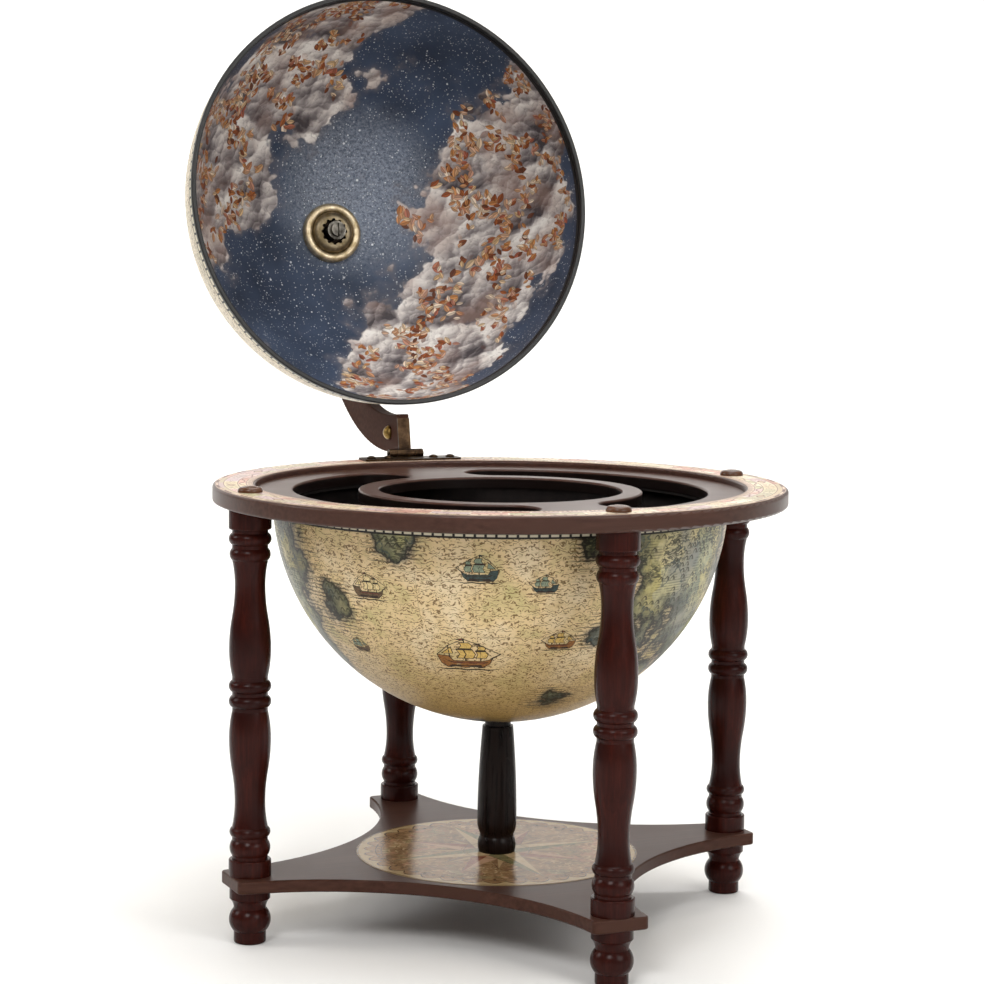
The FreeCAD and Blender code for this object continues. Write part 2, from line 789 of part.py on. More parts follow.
def make_pole_bush():
    top = lid_centre + off_axis(meridian_inner, bush_radius)
    bush = washer(bush_radius, pole_screw_radius + pole_clearance, lid_centre + globe_inner, top)
    return bush.cut(ball(globe_radius + lid_running_gap, lid_centre))


def make_pole_knob():
    base = lid_centre + meridian_outer
    neck = base + knob_base_height + knob_neck_height
    outline = Outline(0, base).line(knob_base_radius, base).up(knob_base_height)
    outline.bow(knob_neck_radius, neck, upright_end=True)
    outline.bow(knob_radius, neck + knob_ball_height / 2, upright_end=True)
    outline.dome(neck + knob_ball_height)
    return outline.solid().cut(cylinder(pole_screw_radius + pole_clearance, base, base + knob_bore_depth))


def save(name, shape):
    solids = shape if isinstance(shape, list) else [shape]
    whole = solids[0] if len(solids) == 1 else Part.makeCompound(solids)
    whole.exportStep(os.path.join("parts", name + ".step"))


def main():
    os.makedirs("parts", exist_ok=True)
    leg, foot = make_leg(), make_foot()
    for side, angle in LEG_ANGLES.items():
        save("leg_" + side, moved(leg, polar(leg_circle, angle)))
        save("foot_" + side, moved(foot, polar(leg_circle, angle)))
    stand = {
        "table_ring": make_table_ring(),
        "horizon_print": make_horizon_print(),
        "lower_hemisphere": make_lower_hemisphere(),
        "bowl_screws": make_bowl_screws(),
        "well_floor": make_well_floor(),
        "leg_bolts": make_leg_bolts(),
        "bolt_caps": make_bolt_caps(),
        "leg_studs": make_leg_studs(),
        "shelf": make_shelf(),
        "compass_print": make_compass_print(),
        "centre_post": make_centre_post(),
        "post_collar": make_post_collar(),
        "post_washers": make_post_washers(),
        "post_screws": make_post_screws(),
        "hinge_base_leaf": make_hinge_base_leaf(),
        "hinge_pin": make_hinge_pin(),
        "hinge_screws": make_hinge_screws(),
    }
    for name, shape in stand.items():
        save(name, shape)
    lid = {
        "meridian_board": make_meridian_board(),
        "hinge_strap": make_hinge_strap(),
        "hinge_cross_bolt": make_hinge_cross_bolt(),
        "hinge_dome_nuts": make_hinge_dome_nuts(),
        "pole_screw": make_pole_screw(),
        "pole_washer": make_pole_washer(),
        "pole_sleeve": make_pole_sleeve(),
        "pole_bush": make_pole_bush(),
        "pole_knob": make_pole_knob(),
        "upper_hemisphere": make_upper_hemisphere(),
        "lid_rim": make_lid_rim(),
        "pole_rosette": make_pole_rosette(),
    }
    for name, shape in lid.items():
        solids = shape if isinstance(shape, list) else [shape]
        save(name, [set_round(laid_open(solid)) for solid in solids])


main()
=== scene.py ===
"""Dresses the floor globe bar: printed globe skins, stained woods and fittings, and the studio round it.

Metres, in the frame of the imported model. Sizes at the top are in millimetres and degrees.
"""
from functools import partial
from math import cos, degrees, pi, radians, sin

import bpy
from mathutils import Matrix, Vector


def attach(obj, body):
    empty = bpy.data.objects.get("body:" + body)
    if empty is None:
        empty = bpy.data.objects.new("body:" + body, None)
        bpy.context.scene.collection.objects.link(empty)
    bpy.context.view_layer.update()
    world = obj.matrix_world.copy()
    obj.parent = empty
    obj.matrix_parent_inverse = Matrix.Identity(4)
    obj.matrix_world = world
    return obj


MM = 0.001
PER_MM = 1000.0

# Where the model's own surfaces are
globe_radius = 165.0
globe_wall = 3.0
bowl_centre = (0.0, 0.0, 312.5)
bowl_tilt = 0.0
bowl_turn = 0.0
lid_centre = (10.001, 238.624, 525.731)
lid_tilt = -100.7
lid_turn = -2.4
rosette_dome = 18.2
rosette_recess = 11.6
rosette_lip = 150.9
opening_edge = 315.0
opening_low = 300.0
opening_reach = 157.0

# Shares of the globe's wall between which its inside ends and its outer print begins
skin_split = (0.6, 0.4)

# Camera of the photograph
camera_reach = 1928.8
camera_height = 518.0
camera_round = -24.2
camera_pan = -0.18
camera_pitch = -6.04
camera_roll = 0.59
camera_lens = 97.8
camera_sensor = 36.0

# Studio, in metres and watts: a closed room, and lights by place, point that they face, width and power
room_length = 18.0
room_width = 9.0
room_height = 4.0
room_round = 1.2
room_segments = 16
air_light = 0.15
LIGHTS = {
    "key_softbox": ((-1.7, -2.0, 2.3), (0.0, 0.0, 0.35), 1.2, 40.0),
    "front_softbox": ((0.9, -2.3, 1.35), (0.0, 0.1, 0.45), 1.3, 19.0),
    "left_softbox": ((-2.4, 1.0, 1.6), (0.0, 0.24, 0.6), 1.0, 17.0),
    "top_softbox": ((0.1, -0.2, 2.7), (0.0, 0.0, 0.0), 1.8, 32.0),
    "wall_softbox": ((1.2, 1.4, 3.2), (2.2, 4.4, 0.4), 2.2, 125.0),
}

# A span below is the two values of a pattern between which a tint comes in, then its least and full share.
# Woods: sizes of grain, pores, streaks and mottle. Pores, fibres and sprayed peel are drawn coarse, to show
rubberwood_grain = (2.4, 2.4, 70.0)
rubberwood_pores = (0.7, 0.7, 9.0)
rubberwood_pore_depth = 0.15
rubberwood_pitted = (0.56, 0.68, 0.0, 0.26)
rubberwood_mottle = 45.0
rubberwood_mottled = (0.42, 0.68)
board_streaks = (90.0, 3.2, 3.2)
board_mottle = 60.0
board_mottled = (0.4, 0.7)
board_peel = 1.6
board_peel_depth = 0.1
board_gloss_spread = 0.12
# Blur of the painted shade on the walls of the ring's openings
opening_shade_blur = 1.0
ebony_grain = (2.0, 2.0, 60.0)
hardboard_fibres = 2.5
hardboard_fibre_depth = 0.2

# Plastics and metals: their mottle, and a texture that is far finer in reality and drawn coarse, to show
plastic_sparks = 0.8
plastic_spark_depth = 0.1
plastic_mottle = 18.0
metal_tarnish = 7.0
metal_tarnished = (0.3, 0.7)
metal_gloss_spread = 0.14
metal_grit = 0.5
metal_grit_depth = 0.05
# The rosette's dome is coloured darker than its flange: the blur of its edge and its share
dome_blur = 0.4
dome_darkening = 0.75
# Painted shade in the rosette's recess: its blur, and the depths below the lip that it spans
recess_shade_blur = 0.4
recess_shade_depths = (0.2, 0.6)
paint_mottle = 333.3

# Paper and ink: the tooth of the paper and the wear of the ink are drawn coarse, to show
paper_tooth = 1.2
paper_tooth_depth = 0.1
varnish_roughness = 0.42
ink_wear = 1.6
print_blur = 0.15
shell_specks = 8.0

# Lands of the printed globe: longitude, latitude and reach in degrees
LANDS = (
    (-198, -22, 22), (-186, -15, 13), (-192, -40, 12), (-56, -8, 20), (-42, -28, 17), (-70, -26, 8),
    (-74, -4, 9), (-60, -46, 6), (-105, -86, 12), (40, -16, 26), (98, -30, 15), (110, -8, 8), (-163, -24, 4),
    (-90, -6, 3), (-140, -4, 4), (-84, -30, 3), (-92, -54, 3),
    (-112, 34, 24), (-80, 55, 18), (-150, 56, 12), (20, 44, 28), (60, 34, 20), (130, 64, 14),
)

# Shores: how softly lands join, then the ragged noise by its size in millimetres, weight and level
land_joining = 0.05
coast_lobes = 45.83
coast_weight = 0.6
coast_level = 0.31
shore_step = (-0.003, 0.003)
shore_line = (0.014, 0.007, 0.0, 0.9)
shore_near = (-0.24, -0.01)
shore_washed = (-0.07, 0.0, 0.0, 0.7)

# The engraved sea, in millimetres, with the latitudes of the tan south and the pale north; the pale north is
# partly painted light.
# Waves and hatching are about twice as coarse as real engraving, so that they show
sea_blotches = 27.5
sea_stains = 10.31
sea_stained = (0.5, 0.72, 0.0, 0.4)
sea_tanned = (radians(-25), radians(-70))
sea_pale_and_painted_light = (radians(-2), radians(6), 0.0, 0.75)
wave_swell = 6.0
wave_sway = 14.0
wave_half_pitch = 1.45
wave_line = (0.75, 0.22)
wave_gaps = (5.0, 2.8, 1.0)
wave_broken = (0.38, 0.54, 0.0, 0.9)
hatch_sway = 3.0
hatch_half_pitch = 1.5
hatch_line = (0.85, 0.35)
hatch_strokes = (17.0, 2.8, 1.0)
hatch_broken = (0.4, 0.52, 0.0, 0.9)

# Hills drawn on the land, in millimetres, with shares of their width and row height, also drawn coarse
hill_width = 6.4
hill_pitch = 4.4
hill_stagger = 0.37
hill_foot = 0.4
hill_top = 0.42
hill_curve = 0.36
hill_chosen = (0.5, 0.52)
hill_line = (0.75, 0.35)
hill_shade = (0.0, -0.4)
hill_dark_side = (0.0, 0.8, 0.0, 0.8)
hill_row_gap = (-0.3, -0.2)
hill_ink = 0.9

# Tints of the land, and its drawn lines, woods and rivers, in millimetres. The sway's reach is in radii
region_sway = 18.33
region_sway_reach = (0.2, 0.2, 0.2)
region_width = 30.0
land_blotches = 13.75
land_pale = (0.48, 0.66, 0.0, 0.6)
land_dusky = (0.52, 0.42, 0.0, 0.5)
land_slates = 63.46
land_slated = (0.5, 0.62, 0.0, 0.75)
land_edge = (0.12, 0.0, 0.0, 0.9)
land_line_half_pitch = 1.0
land_line = (0.65, 0.3)
wood_curls = (5.5, 2.2, 1.0)
wood_curled = (0.46, 0.54)
wood_patches = 25.38
wood_northern = (radians(-26), radians(-6), -0.06, 0.09)
wooded = (0.53, 0.62, 0.0, 0.8)
river_bends = 33.0
river_level = 0.5
river_line = (0.009, 0.004, 0.0, 0.75)

# Graticule, and the dashed band on the equator: its reach either side, and where its dashes are
graticule_step = radians(15)
graticule_line = (0.6, 0.25, 0.0, 0.2)
bowl_band = (12.8, 9.8, 11.4)
lid_band = (9.6, 3.8, 8.4)
band_blur = 0.2
dash_half_pitch = 3.6
dash_gap = (0.7, 1.1)

# A small ship in outline, right of and above its middle, with the ink that fills each shape
SHIP = (
    ("hull_ink", ((-14.0, 0.5), (-11.0, -2.6), (9.0, -2.6), (13.0, 0.8), (14.8, 5.4), (9.5, 3.2),
                  (-6.6, 3.2), (-9.0, 6.6), (-15.6, 7.4))),
    ("line_ink", ((-13.3, 0.0), (-10.9, -2.5), (8.9, -2.5), (12.4, 0.4), (0.0, -0.6))),
    ("line_ink", ((-17.5, -3.2), (-12.0, -3.9), (-6.0, -3.1), (0.0, -3.9), (6.0, -3.1), (12.0, -3.9),
                  (18.0, -3.2), (12.0, -4.8), (6.0, -4.0), (0.0, -4.8), (-6.0, -4.0), (-12.0, -4.8))),
    ("line_ink", ((-0.4, 3.2), (0.4, 3.2), (0.3, 19.6), (-0.3, 19.6))),
    ("line_ink", ((7.7, 3.2), (8.4, 3.2), (8.3, 15.8), (7.8, 15.8))),
    ("line_ink", ((-8.9, 5.4), (-8.2, 5.4), (-8.3, 14.6), (-8.8, 14.6))),
    ("line_ink", ((13.6, 4.6), (19.0, 8.6), (18.6, 9.0), (13.2, 5.4))),
    ("line_ink", ((0.0, 19.4), (8.1, 15.4), (18.6, 8.6), (18.4, 8.3), (8.0, 15.0), (0.0, 18.9))),
    ("line_ink", ((0.0, 19.4), (-8.6, 14.4), (-15.4, 7.4), (-15.0, 7.2), (-8.5, 14.0), (0.0, 18.9))),
    ("sail_ink", ((-4.8, 4.8), (4.2, 4.8), (5.8, 8.2), (4.2, 11.6), (-4.6, 11.6), (-3.0, 8.2))),
    ("sail_ink", ((-3.4, 12.2), (3.2, 12.2), (4.4, 14.6), (2.6, 16.8), (-2.8, 16.8), (-1.8, 14.6))),
    ("sail_ink", ((5.3, 5.2), (11.2, 5.2), (12.4, 8.0), (11.0, 10.6), (5.5, 10.6), (6.5, 8.0))),
    ("sail_ink", ((6.0, 11.2), (10.4, 11.2), (11.3, 12.8), (9.9, 14.4), (6.2, 14.4), (7.0, 12.8))),
    ("sail_ink", ((-13.2, 8.0), (-6.2, 8.4), (-7.0, 13.6))),
    ("line_ink", ((-4.6, 11.6), (4.2, 11.6), (4.2, 12.2), (-4.6, 12.2))),
    ("line_ink", ((5.4, 10.6), (11.1, 10.6), (11.1, 11.2), (5.4, 11.2))),
    ("line_ink", ((-1.2, 5.0), (-0.4, 5.0), (0.9, 8.2), (-0.4, 11.4), (-1.0, 11.4), (0.3, 8.2))),
    ("flag_ink", ((-11.6, 3.4), (-6.8, 1.0), (9.6, 1.0), (12.6, 2.6), (9.4, 2.2), (-6.6, 2.2))),
    ("flag_ink", ((0.0, 19.8), (-5.0, 18.9), (0.0, 17.9))),
    ("flag_ink", ((8.0, 16.2), (4.2, 15.4), (8.0, 14.7))),
)
ship_outline = 0.42
print_lift = 0.05
film_to_lift = 1.4

# Ships on the two halves: longitude, latitude, size, which way they sail, and their colouring
BOWL_SHIPS = (
    (-124, -39, 1.25, 1, "ochre"), (-97, -33, 0.72, -1, "ochre"), (-149, -20, 0.85, 1, "straw"),
    (-119, -14, 0.85, -1, "slate"), (-103, -17, 0.6, -1, "slate"), (-160, -37, 0.55, -1, "sepia"),
    (-20, -36, 0.8, 1, "ochre"), (2, -34, 0.7, -1, "slate"), (70, -34, 0.9, 1, "ochre"),
    (132, -22, 0.8, -1, "straw"),
)
LID_SHIPS = (
    (-30, 22, 0.9, 1, "ochre"), (-140, 14, 0.8, -1, "straw"), (100, 12, 0.8, 1, "slate"),
    (-8, 60, 0.7, -1, "ochre"), (-62, 24, 0.6, 1, "sepia"),
)

# Inks by colour and worn shade, and the inks of each colouring for the hull, the sails and the flags
INKS = {
    "line_ink": ("brown_line_ink", "#33261a", "#241910"),
    "ochre_ink": ("ochre_ink", "#96632f", "#6b4220"),
    "straw_ink": ("straw_ink", "#d3b266", "#b08e4a"),
    "red_ink": ("red_ink", "#8f4733", "#6b3226"),
    "umber_ink": ("umber_ink", "#6a5238", "#463524"),
    "cream_ink": ("cream_ink", "#e2cf9d", "#c4ac76"),
    "slate_ink": ("slate_ink", "#3b4a47", "#232e2c"),
    "sage_ink": ("sage_ink", "#8f9a80", "#5f6d5c"),
}
COLOURINGS = {
    "ochre": {"hull_ink": "ochre_ink", "sail_ink": "straw_ink", "flag_ink": "red_ink"},
    "straw": {"hull_ink": "umber_ink", "sail_ink": "cream_ink", "flag_ink": "red_ink"},
    "slate": {"hull_ink": "slate_ink", "sail_ink": "sage_ink", "flag_ink": "slate_ink"},
    "sepia": {"hull_ink": "umber_ink", "sail_ink": "sage_ink", "flag_ink": "umber_ink"},
}

# The painted sky, in millimetres. Stars: distance between them, size as a share of it, and share left dark
STARS = ((2.1, 0.27, 0.35), (4.4, 0.2, 0.25), (12.0, 0.11, 0.25))
star_heart = 0.5
night_tones = 55.0
# A pale glow near the pole, partly a painted reflection of the studio light: its place, reach, share and
# speckle
glow_place = (-60, 74)
glow_reach = (0.86, 1.0)
glow_share = 0.75
glow_dust = 2.2
glow_dusted = (0.3, 0.7)
# A near-black band inside the lid, along its rim: its height and blur
sky_rim_band = 5.0
sky_rim_band_blur = 0.4

# Banks of cloud: the noise that bends them, the slant of the river of stars, and the edges of a bank
bank_bends = 90.0
bank_bend_weight = 1.5
bank_slant = (0.0042, 0.0026, 0.0)
bank_middle = 0.72
bank_inner_edge = (0.16, 0.5)
bank_outer_edge = (1.25, 0.9)

# Heads of cloud, by width and weight, their sway, the light on them, and the tints of their paint
CLOUD_HEADS = ((58.0, 0.46), (27.0, 0.32), (12.0, 0.22), (6.0, 0.1))
head_sway = 16.0
head_sway_reach = (13.0, 13.0, 0.0)
head_light = Vector((-0.5, -0.86, 0.0))
head_lit = (-0.36, 0.36)
head_to_bank = 1.1
cloud_warmth = 60.0
cloud_warmed = (0.46, 0.66, 0.0, 0.45)
cloud_strokes = 6.0
cloud_stroked = (0.54, 0.68, 0.0, 0.35)
cloud_mist = (-0.35, 0.15, 0.0, 0.5)
cloud_edge = (0.0, 0.14)

# Layers of leaves, by spacing and how far each is moved, and a leaf's half sizes as shares of the spacing
LEAF_LAYERS = ((13.0, 67.0), (9.0, 31.0), (11.0, 0.0), (8.0, 143.0))
leaf_half_width = 0.25
leaf_half_length = 0.5
leaf_drifts = 44.0
leaf_on_cloud = (0.3, 0.7)
leaf_kept = (0.51, 0.52)
leaf_blur = (0.0, 0.4)
leaf_dark_half = (-0.3, 0.3, 0.0, 0.35)
leaf_edge = (0.8, 0.3, 0.0, 0.6)
leaf_rib = (0.45, 0.15, 0.0, 0.5)

# Compass card. Scrolls: size, span and tint. Stars: points, outer and inner reach, turn and two tints
COMPASS_SCROLLS = (
    (30.0, (0.55, 0.62, 0.0, 0.55), "#a8735c"), (24.0, (0.57, 0.64, 0.0, 0.5), "#7b7a55"),
    (9.0, (0.53, 0.58, 0.0, 0.6), "#54402a"), (7.0, (0.57, 0.62, 0.0, 0.6), "#c2a880"),
)
COMPASS_STARS = (
    (8, 58.0, 20.0, pi / 8, "#a98e68", "#6a4f37"),
    (4, 70.0, 18.0, pi / 4, "#b08c70", "#7d4436"),
    (4, 84.0, 17.0, 0.0, "#b8a27c", "#565a3a"),
)
COMPASS_RINGS = ((23.6, 24.4), (25.7, 26.2), (84.6, 85.3), (88.5, 89.4), (101.6, 102.8))
compass_age = 26.0
compass_ground = (27.0, 84.0)
compass_star_ink = 0.85
compass_rim_ink = 0.6
compass_ring_ink = 0.85
compass_scallops = 36
compass_scallop_depth = 6.0
compass_scallop_edge = (91.0, 91.5)
compass_scallop_line = (90.6, 91.9)
compass_tick_half_step = pi / 72
compass_tick_line = (0.016, 0.012, 0.0, 0.8)
compass_tick_ring = (85.6, 88.2)
compass_wear = 5.0
compass_worn = (0.46, 0.66, 0.0, 0.65)
star_edge = (0.25, -0.25)
star_rim = (-0.9, -0.3)
star_fold_blur = 0.004

# Horizon card. Panels: degrees along and two radii. Ticks: two radii, step in degrees, width in radians
HORIZON_PANELS = ((7.5, 190.0, 199.6), (6.0, 183.9, 189.4), (10.0, 200.2, 203.4))
HORIZON_TICKS = ((180.0, 182.2, 1.0, 0.0045), (180.0, 183.4, 5.0, 0.006), (200.4, 203.6, 2.0, 0.006))
HORIZON_LOZENGES = ((8.4, "#6f3f31"), (5.4, "#b89f7c"))
HORIZON_LINES = ((179.6, 0.5), (183.7, 0.6), (189.7, 0.7), (199.9, 0.7), (203.6, 0.4), (205.5, 0.5))
horizon_age = 30.0
horizon_panel_ink = 0.9
horizon_border = (0.9, 0.5, 0.0, 0.8)
horizon_tick_ink = 0.85
horizon_tick_core = 0.6
horizon_check_step = radians(10)
horizon_check_blur = 0.001
horizon_check_ring = (203.6, 205.4)
horizon_vine_waves = 36.0
horizon_vine_sway = 1.7
horizon_vine_ring = (186.2, 187.2)
horizon_vine_middle = 186.7
horizon_line_ink = 0.85
horizon_leaf_half_step = pi / 72
horizon_leaf_radius = 180.0
horizon_leaf = (2.2, 1.6, 0.0, 0.8)
horizon_month = pi / 6
horizon_lozenge_radius = 195.0
horizon_lozenge_middle = 194.8
horizon_lozenge_squash = 2.2
horizon_lozenge_blur = 0.6
horizon_curl_length = 2.786
horizon_curl_height = 1.818
horizon_curled = (0.52, 0.58, 0.0, 0.65)
horizon_curl_clearance = (12.0, 13.5)
horizon_curl_ring = (191.4, 198.4)

# Settings that many shader nodes share. LAYER's sockets 0, 6 and 7 are share, colour below and colour above
EASE = {"interpolation_type": "SMOOTHSTEP"}
LAYER = {"data_type": "RGBA", "out": 2}
TIMES = {"operation": "MULTIPLY"}
PLUS = {"operation": "ADD"}
LESS = {"operation": "SUBTRACT"}
SCALED_PLUS = {"operation": "MULTIPLY_ADD"}
WITHOUT_SIGN = {"operation": "ABSOLUTE"}
FOLDED = {"operation": "PINGPONG"}
REPEATED = {"operation": "FLOORED_MODULO"}
LENGTH = {"operation": "LENGTH", "out": "Value"}
DOT = {"operation": "DOT_PRODUCT", "out": "Value"}

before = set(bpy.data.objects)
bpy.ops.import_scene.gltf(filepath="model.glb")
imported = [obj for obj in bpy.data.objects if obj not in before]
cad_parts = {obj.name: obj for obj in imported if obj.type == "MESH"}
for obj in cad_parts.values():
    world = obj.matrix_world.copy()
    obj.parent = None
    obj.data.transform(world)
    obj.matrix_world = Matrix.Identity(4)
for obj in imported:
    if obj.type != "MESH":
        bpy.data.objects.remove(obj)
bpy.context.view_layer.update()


def linear(colour):
    """An sRGB hex colour as linear RGBA."""
    parts = [int(colour[place:place + 2], 16) / 255 for place in (1, 3, 5)]
    toned = [part / 12.92 if part <= 0.04045 else ((part + 0.055) / 1.055) ** 2.4 for part in parts]
    return (*toned, 1.0)


def repeats(sizes):
    """How often patterns of these sizes repeat in a millimetre."""
    return tuple(1 / size for size in sizes)


def add(tree, kind, inputs=(), out=0, stops=(), **settings):
    """Adds a shader node, with its settings, links and values, and gives back one of its outputs."""
    made = tree.nodes.new("ShaderNode" + kind)
    for name, value in settings.items():
        setattr(made, name, value)
    for place, (position, colour) in enumerate(stops):
        # A new ramp already has its first and last stop, so these are given first
        steps = made.color_ramp.elements
        step = steps[place] if place < 2 else steps.new(position)
        step.position = position
        step.color = linear(colour)
    for socket, value in inputs.items() if isinstance(inputs, dict) else enumerate(inputs):
        if isinstance(value, bpy.types.NodeSocket):
            tree.links.new(value, made.inputs[socket])
        else:
            made.inputs[socket].default_value = value
    return made.outputs[out] if made.outputs else None


def start_material(name):
    """A new material with an empty node tree, and a way to add nodes to it."""
    material = bpy.data.materials.new(name)
    material.use_nodes = True
    material.node_tree.nodes.clear()
    return material, partial(add, material.node_tree)


def place_in_mm(node):
    """The point on the piece, in millimetres of the model's frame."""
    return node("VectorMath", {0: node("TexCoord", out="Object"), "Scale": PER_MM}, operation="SCALE")


# Woods
def turned_rubberwood():
    """Rubberwood, turned, stained dark mahogany and lacquered: faint streaks under a soft gloss."""
    material, node = start_material("turned_rubberwood")
    place = place_in_mm(node)
    grain_space = node("Mapping", {"Vector": place, "Scale": repeats(rubberwood_grain)})
    grain = node(
        "TexNoise", {"Vector": grain_space, "Scale": 1.0, "Detail": 5.0, "Roughness": 0.6, "Distortion": 0.4}
    )
    pore_space = node("Mapping", {"Vector": place, "Scale": repeats(rubberwood_pores)})
    pores = node("TexNoise", {"Vector": pore_space, "Scale": 1.0, "Detail": 2.0})
    mottle = node("TexNoise", {"Vector": place, "Scale": 1 / rubberwood_mottle, "Detail": 2.0})
    wood = node("ValToRGB", [grain], stops=((0.25, "#260c08"), (0.75, "#3f160e"), (0.5, "#30100b")))
    mottled = node("MapRange", [mottle, *rubberwood_mottled], **EASE)
    wood = node("Mix", {0: mottled, 6: wood, 7: linear("#260c09")}, **LAYER)
    pitted = node("MapRange", [pores, *rubberwood_pitted], **EASE)
    wood = node("Mix", {0: pitted, 6: wood, 7: linear("#0f0403")}, **LAYER)
    gloss = node("MapRange", {"Value": grain, "To Min": 0.2, "To Max": 0.28})
    film = node("Bump", {"Height": pores, "Strength": 0.07, "Distance": rubberwood_pore_depth * MM})
    shader = node(
        "BsdfPrincipled",
        {
            "Base Color": wood, "Roughness": gloss, "IOR": 1.5, "Specular IOR Level": 0.1,
            "Coat Weight": 0.02, "Coat Roughness": 0.12, "Normal": film,
        },
    )
    node("OutputMaterial", [shader])
    return material


def stained_board(name, gloss, specular):
    """Fibreboard, stained brown and sprayed: a faint mottle under a satin film, with the walls of its
    openings painted near-black as shade.
    """
    material, node = start_material(name)
    place = place_in_mm(node)
    streak_space = node("Mapping", {"Vector": place, "Scale": repeats(board_streaks)})
    streaks = node("TexNoise", {"Vector": streak_space, "Scale": 1.0, "Detail": 4.0})
    mottle = node("TexNoise", {"Vector": place, "Scale": 1 / board_mottle, "Detail": 3.0})
    peel = node("TexNoise", {"Vector": place, "Scale": 1 / board_peel, "Detail": 1.0})
    axes = node("SeparateXYZ", [place]).node.outputs
    out = node("VectorMath", [node("CombineXYZ", [axes["X"], axes["Y"], 0.0])], **LENGTH)
    # Painted shade: the walls of the openings, where shade falls, are coloured near-black
    within = node("MapRange", [out, opening_reach + opening_shade_blur, opening_reach - opening_shade_blur])
    below = node("MapRange", [axes["Z"], opening_edge, opening_edge - opening_shade_blur])
    above = node("MapRange", [axes["Z"], opening_low - opening_shade_blur, opening_low + opening_shade_blur])
    shaded_openings = node("Math", [node("Math", [within, below], **TIMES), above], **TIMES)
    stain = node("ValToRGB", [streaks], stops=((0.3, "#38231c"), (0.7, "#4c3229")))
    mottled = node("MapRange", [mottle, *board_mottled], **EASE)
    stain = node("Mix", {0: mottled, 6: stain, 7: linear("#432c24")}, **LAYER)
    # The painted shade on the openings' walls
    stain = node("Mix", {0: shaded_openings, 6: stain, 7: linear("#120a08")}, **LAYER)
    sheen = node("MapRange", {"Value": mottle, "To Min": gloss, "To Max": gloss + board_gloss_spread})
    film = node("Bump", {"Height": peel, "Strength": 0.06, "Distance": board_peel_depth * MM})
    shader = node(
        "BsdfPrincipled",
        {
            "Base Color": stain, "Roughness": sheen, "IOR": 1.5, "Specular IOR Level": specular,
            "Normal": film,
        },
    )
    node("OutputMaterial", [shader])
    return material


def ebonised_wood():
    """Turned wood, dyed almost black and lacquered: depth only shows along its highlights."""
    material, node = start_material("ebonised_wood")
    grain_space = node("Mapping", {"Vector": place_in_mm(node), "Scale": repeats(ebony_grain)})
    grain = node("TexNoise", {"Vector": grain_space, "Scale": 1.0, "Detail": 4.0})
    dye = node("ValToRGB", [grain], stops=((0.3, "#0b0605"), (0.7, "#1c110d")))
    gloss = node("MapRange", {"Value": grain, "To Min": 0.22, "To Max": 0.34})
    shader = node(
        "BsdfPrincipled", {"Base Color": dye, "Roughness": gloss, "IOR": 1.5, "Specular IOR Level": 0.09}
    )
    node("OutputMaterial", [shader])
    return material


def raw_board():
    """Hardboard in the bottom of the well: matt, with its fibres showing, dark brown made near-black as
    painted shade for the shaded well.
    """
    material, node = start_material("hardboard_with_painted_shade")
    fibre_space = {"Vector": place_in_mm(node), "Scale": 1 / hardboard_fibres}
    fibres = node("TexNoise", {**fibre_space, "Detail": 5.0, "Roughness": 0.7})
    # Painted shade: the well's floor is coloured near-black for the shade that falls in the well
    dye = node("ValToRGB", [fibres], stops=((0.3, "#0e0807"), (0.7, "#1c110e")))
    tooth = node("Bump", {"Height": fibres, "Strength": 0.3, "Distance": hardboard_fibre_depth * MM})
    shader = node(
        "BsdfPrincipled", {"Base Color": dye, "Roughness": 0.8, "Specular IOR Level": 0.1, "Normal": tooth}
    )
    node("OutputMaterial", [shader])
    return material


# Prints
class Globe:
    """Places on one half of the printed globe: its own direction, longitude, latitude and distance out."""

    def __init__(self, node, centre, tilt, turn):
        rest = {"Location": centre, "Rotation": (radians(tilt), 0.0, radians(turn))}
        self.place = node("Mapping", {"Vector": place_in_mm(node), **rest}, vector_type="TEXTURE")
        self.ray = node("VectorMath", [self.place], operation="NORMALIZE")
        axes = node("SeparateXYZ", [self.ray]).node.outputs
        self.longitude = node("Math", [axes["Y"], axes["X"]], operation="ARCTAN2")
        self.latitude = node("Math", [axes["Z"]], operation="ARCSINE")
        self.height = node("Math", [axes["Z"], globe_radius], **TIMES)
        self.along = node("Math", [self.longitude, globe_radius], **TIMES)
        self.up = node("Math", [self.latitude, globe_radius], **TIMES)
        self.sheet = node("CombineXYZ", [self.along, self.up, 0.0])
        out = node("VectorMath", [self.place], **LENGTH)
        split = [globe_radius - globe_wall * share for share in skin_split]
        self.outside = node("MapRange", [out, *split])


def towards(longitude, latitude):
    """The direction of a place on the globe from its centre."""
    across = cos(radians(latitude))
    return (across * cos(radians(longitude)), across * sin(radians(longitude)), sin(radians(latitude)))


def band(node, value, low, high):
    """Where a distance lies between two others."""
    after = node("MapRange", [value, low - print_blur, low + print_blur])
    return node("Math", [after, node("MapRange", [value, high + print_blur, high - print_blur])], **TIMES)


def shore_field(node, globe):
    """How far inland a place is: above 0 on land, below 0 at sea, in radians near the shore."""
    shore = None
    for longitude, latitude, reach in LANDS:
        aim = node("VectorMath", [globe.ray, towards(longitude, latitude)], **DOT)
        rise = node("MapRange", [aim, cos(radians(reach)), 1.0, 0.0, radians(reach) / 2], clamp=False)
        shore = rise if shore is None else node("Math", [shore, rise, land_joining], operation="SMOOTH_MAX")
    ragged_space = {"Vector": globe.ray, "Scale": globe_radius / coast_lobes}
    ragged = node("TexNoise", {**ragged_space, "Detail": 10.0, "Roughness": 0.64})
    shore = node("Math", [ragged, coast_weight, shore], **SCALED_PLUS)
    return node("Math", [shore, coast_level], **LESS)


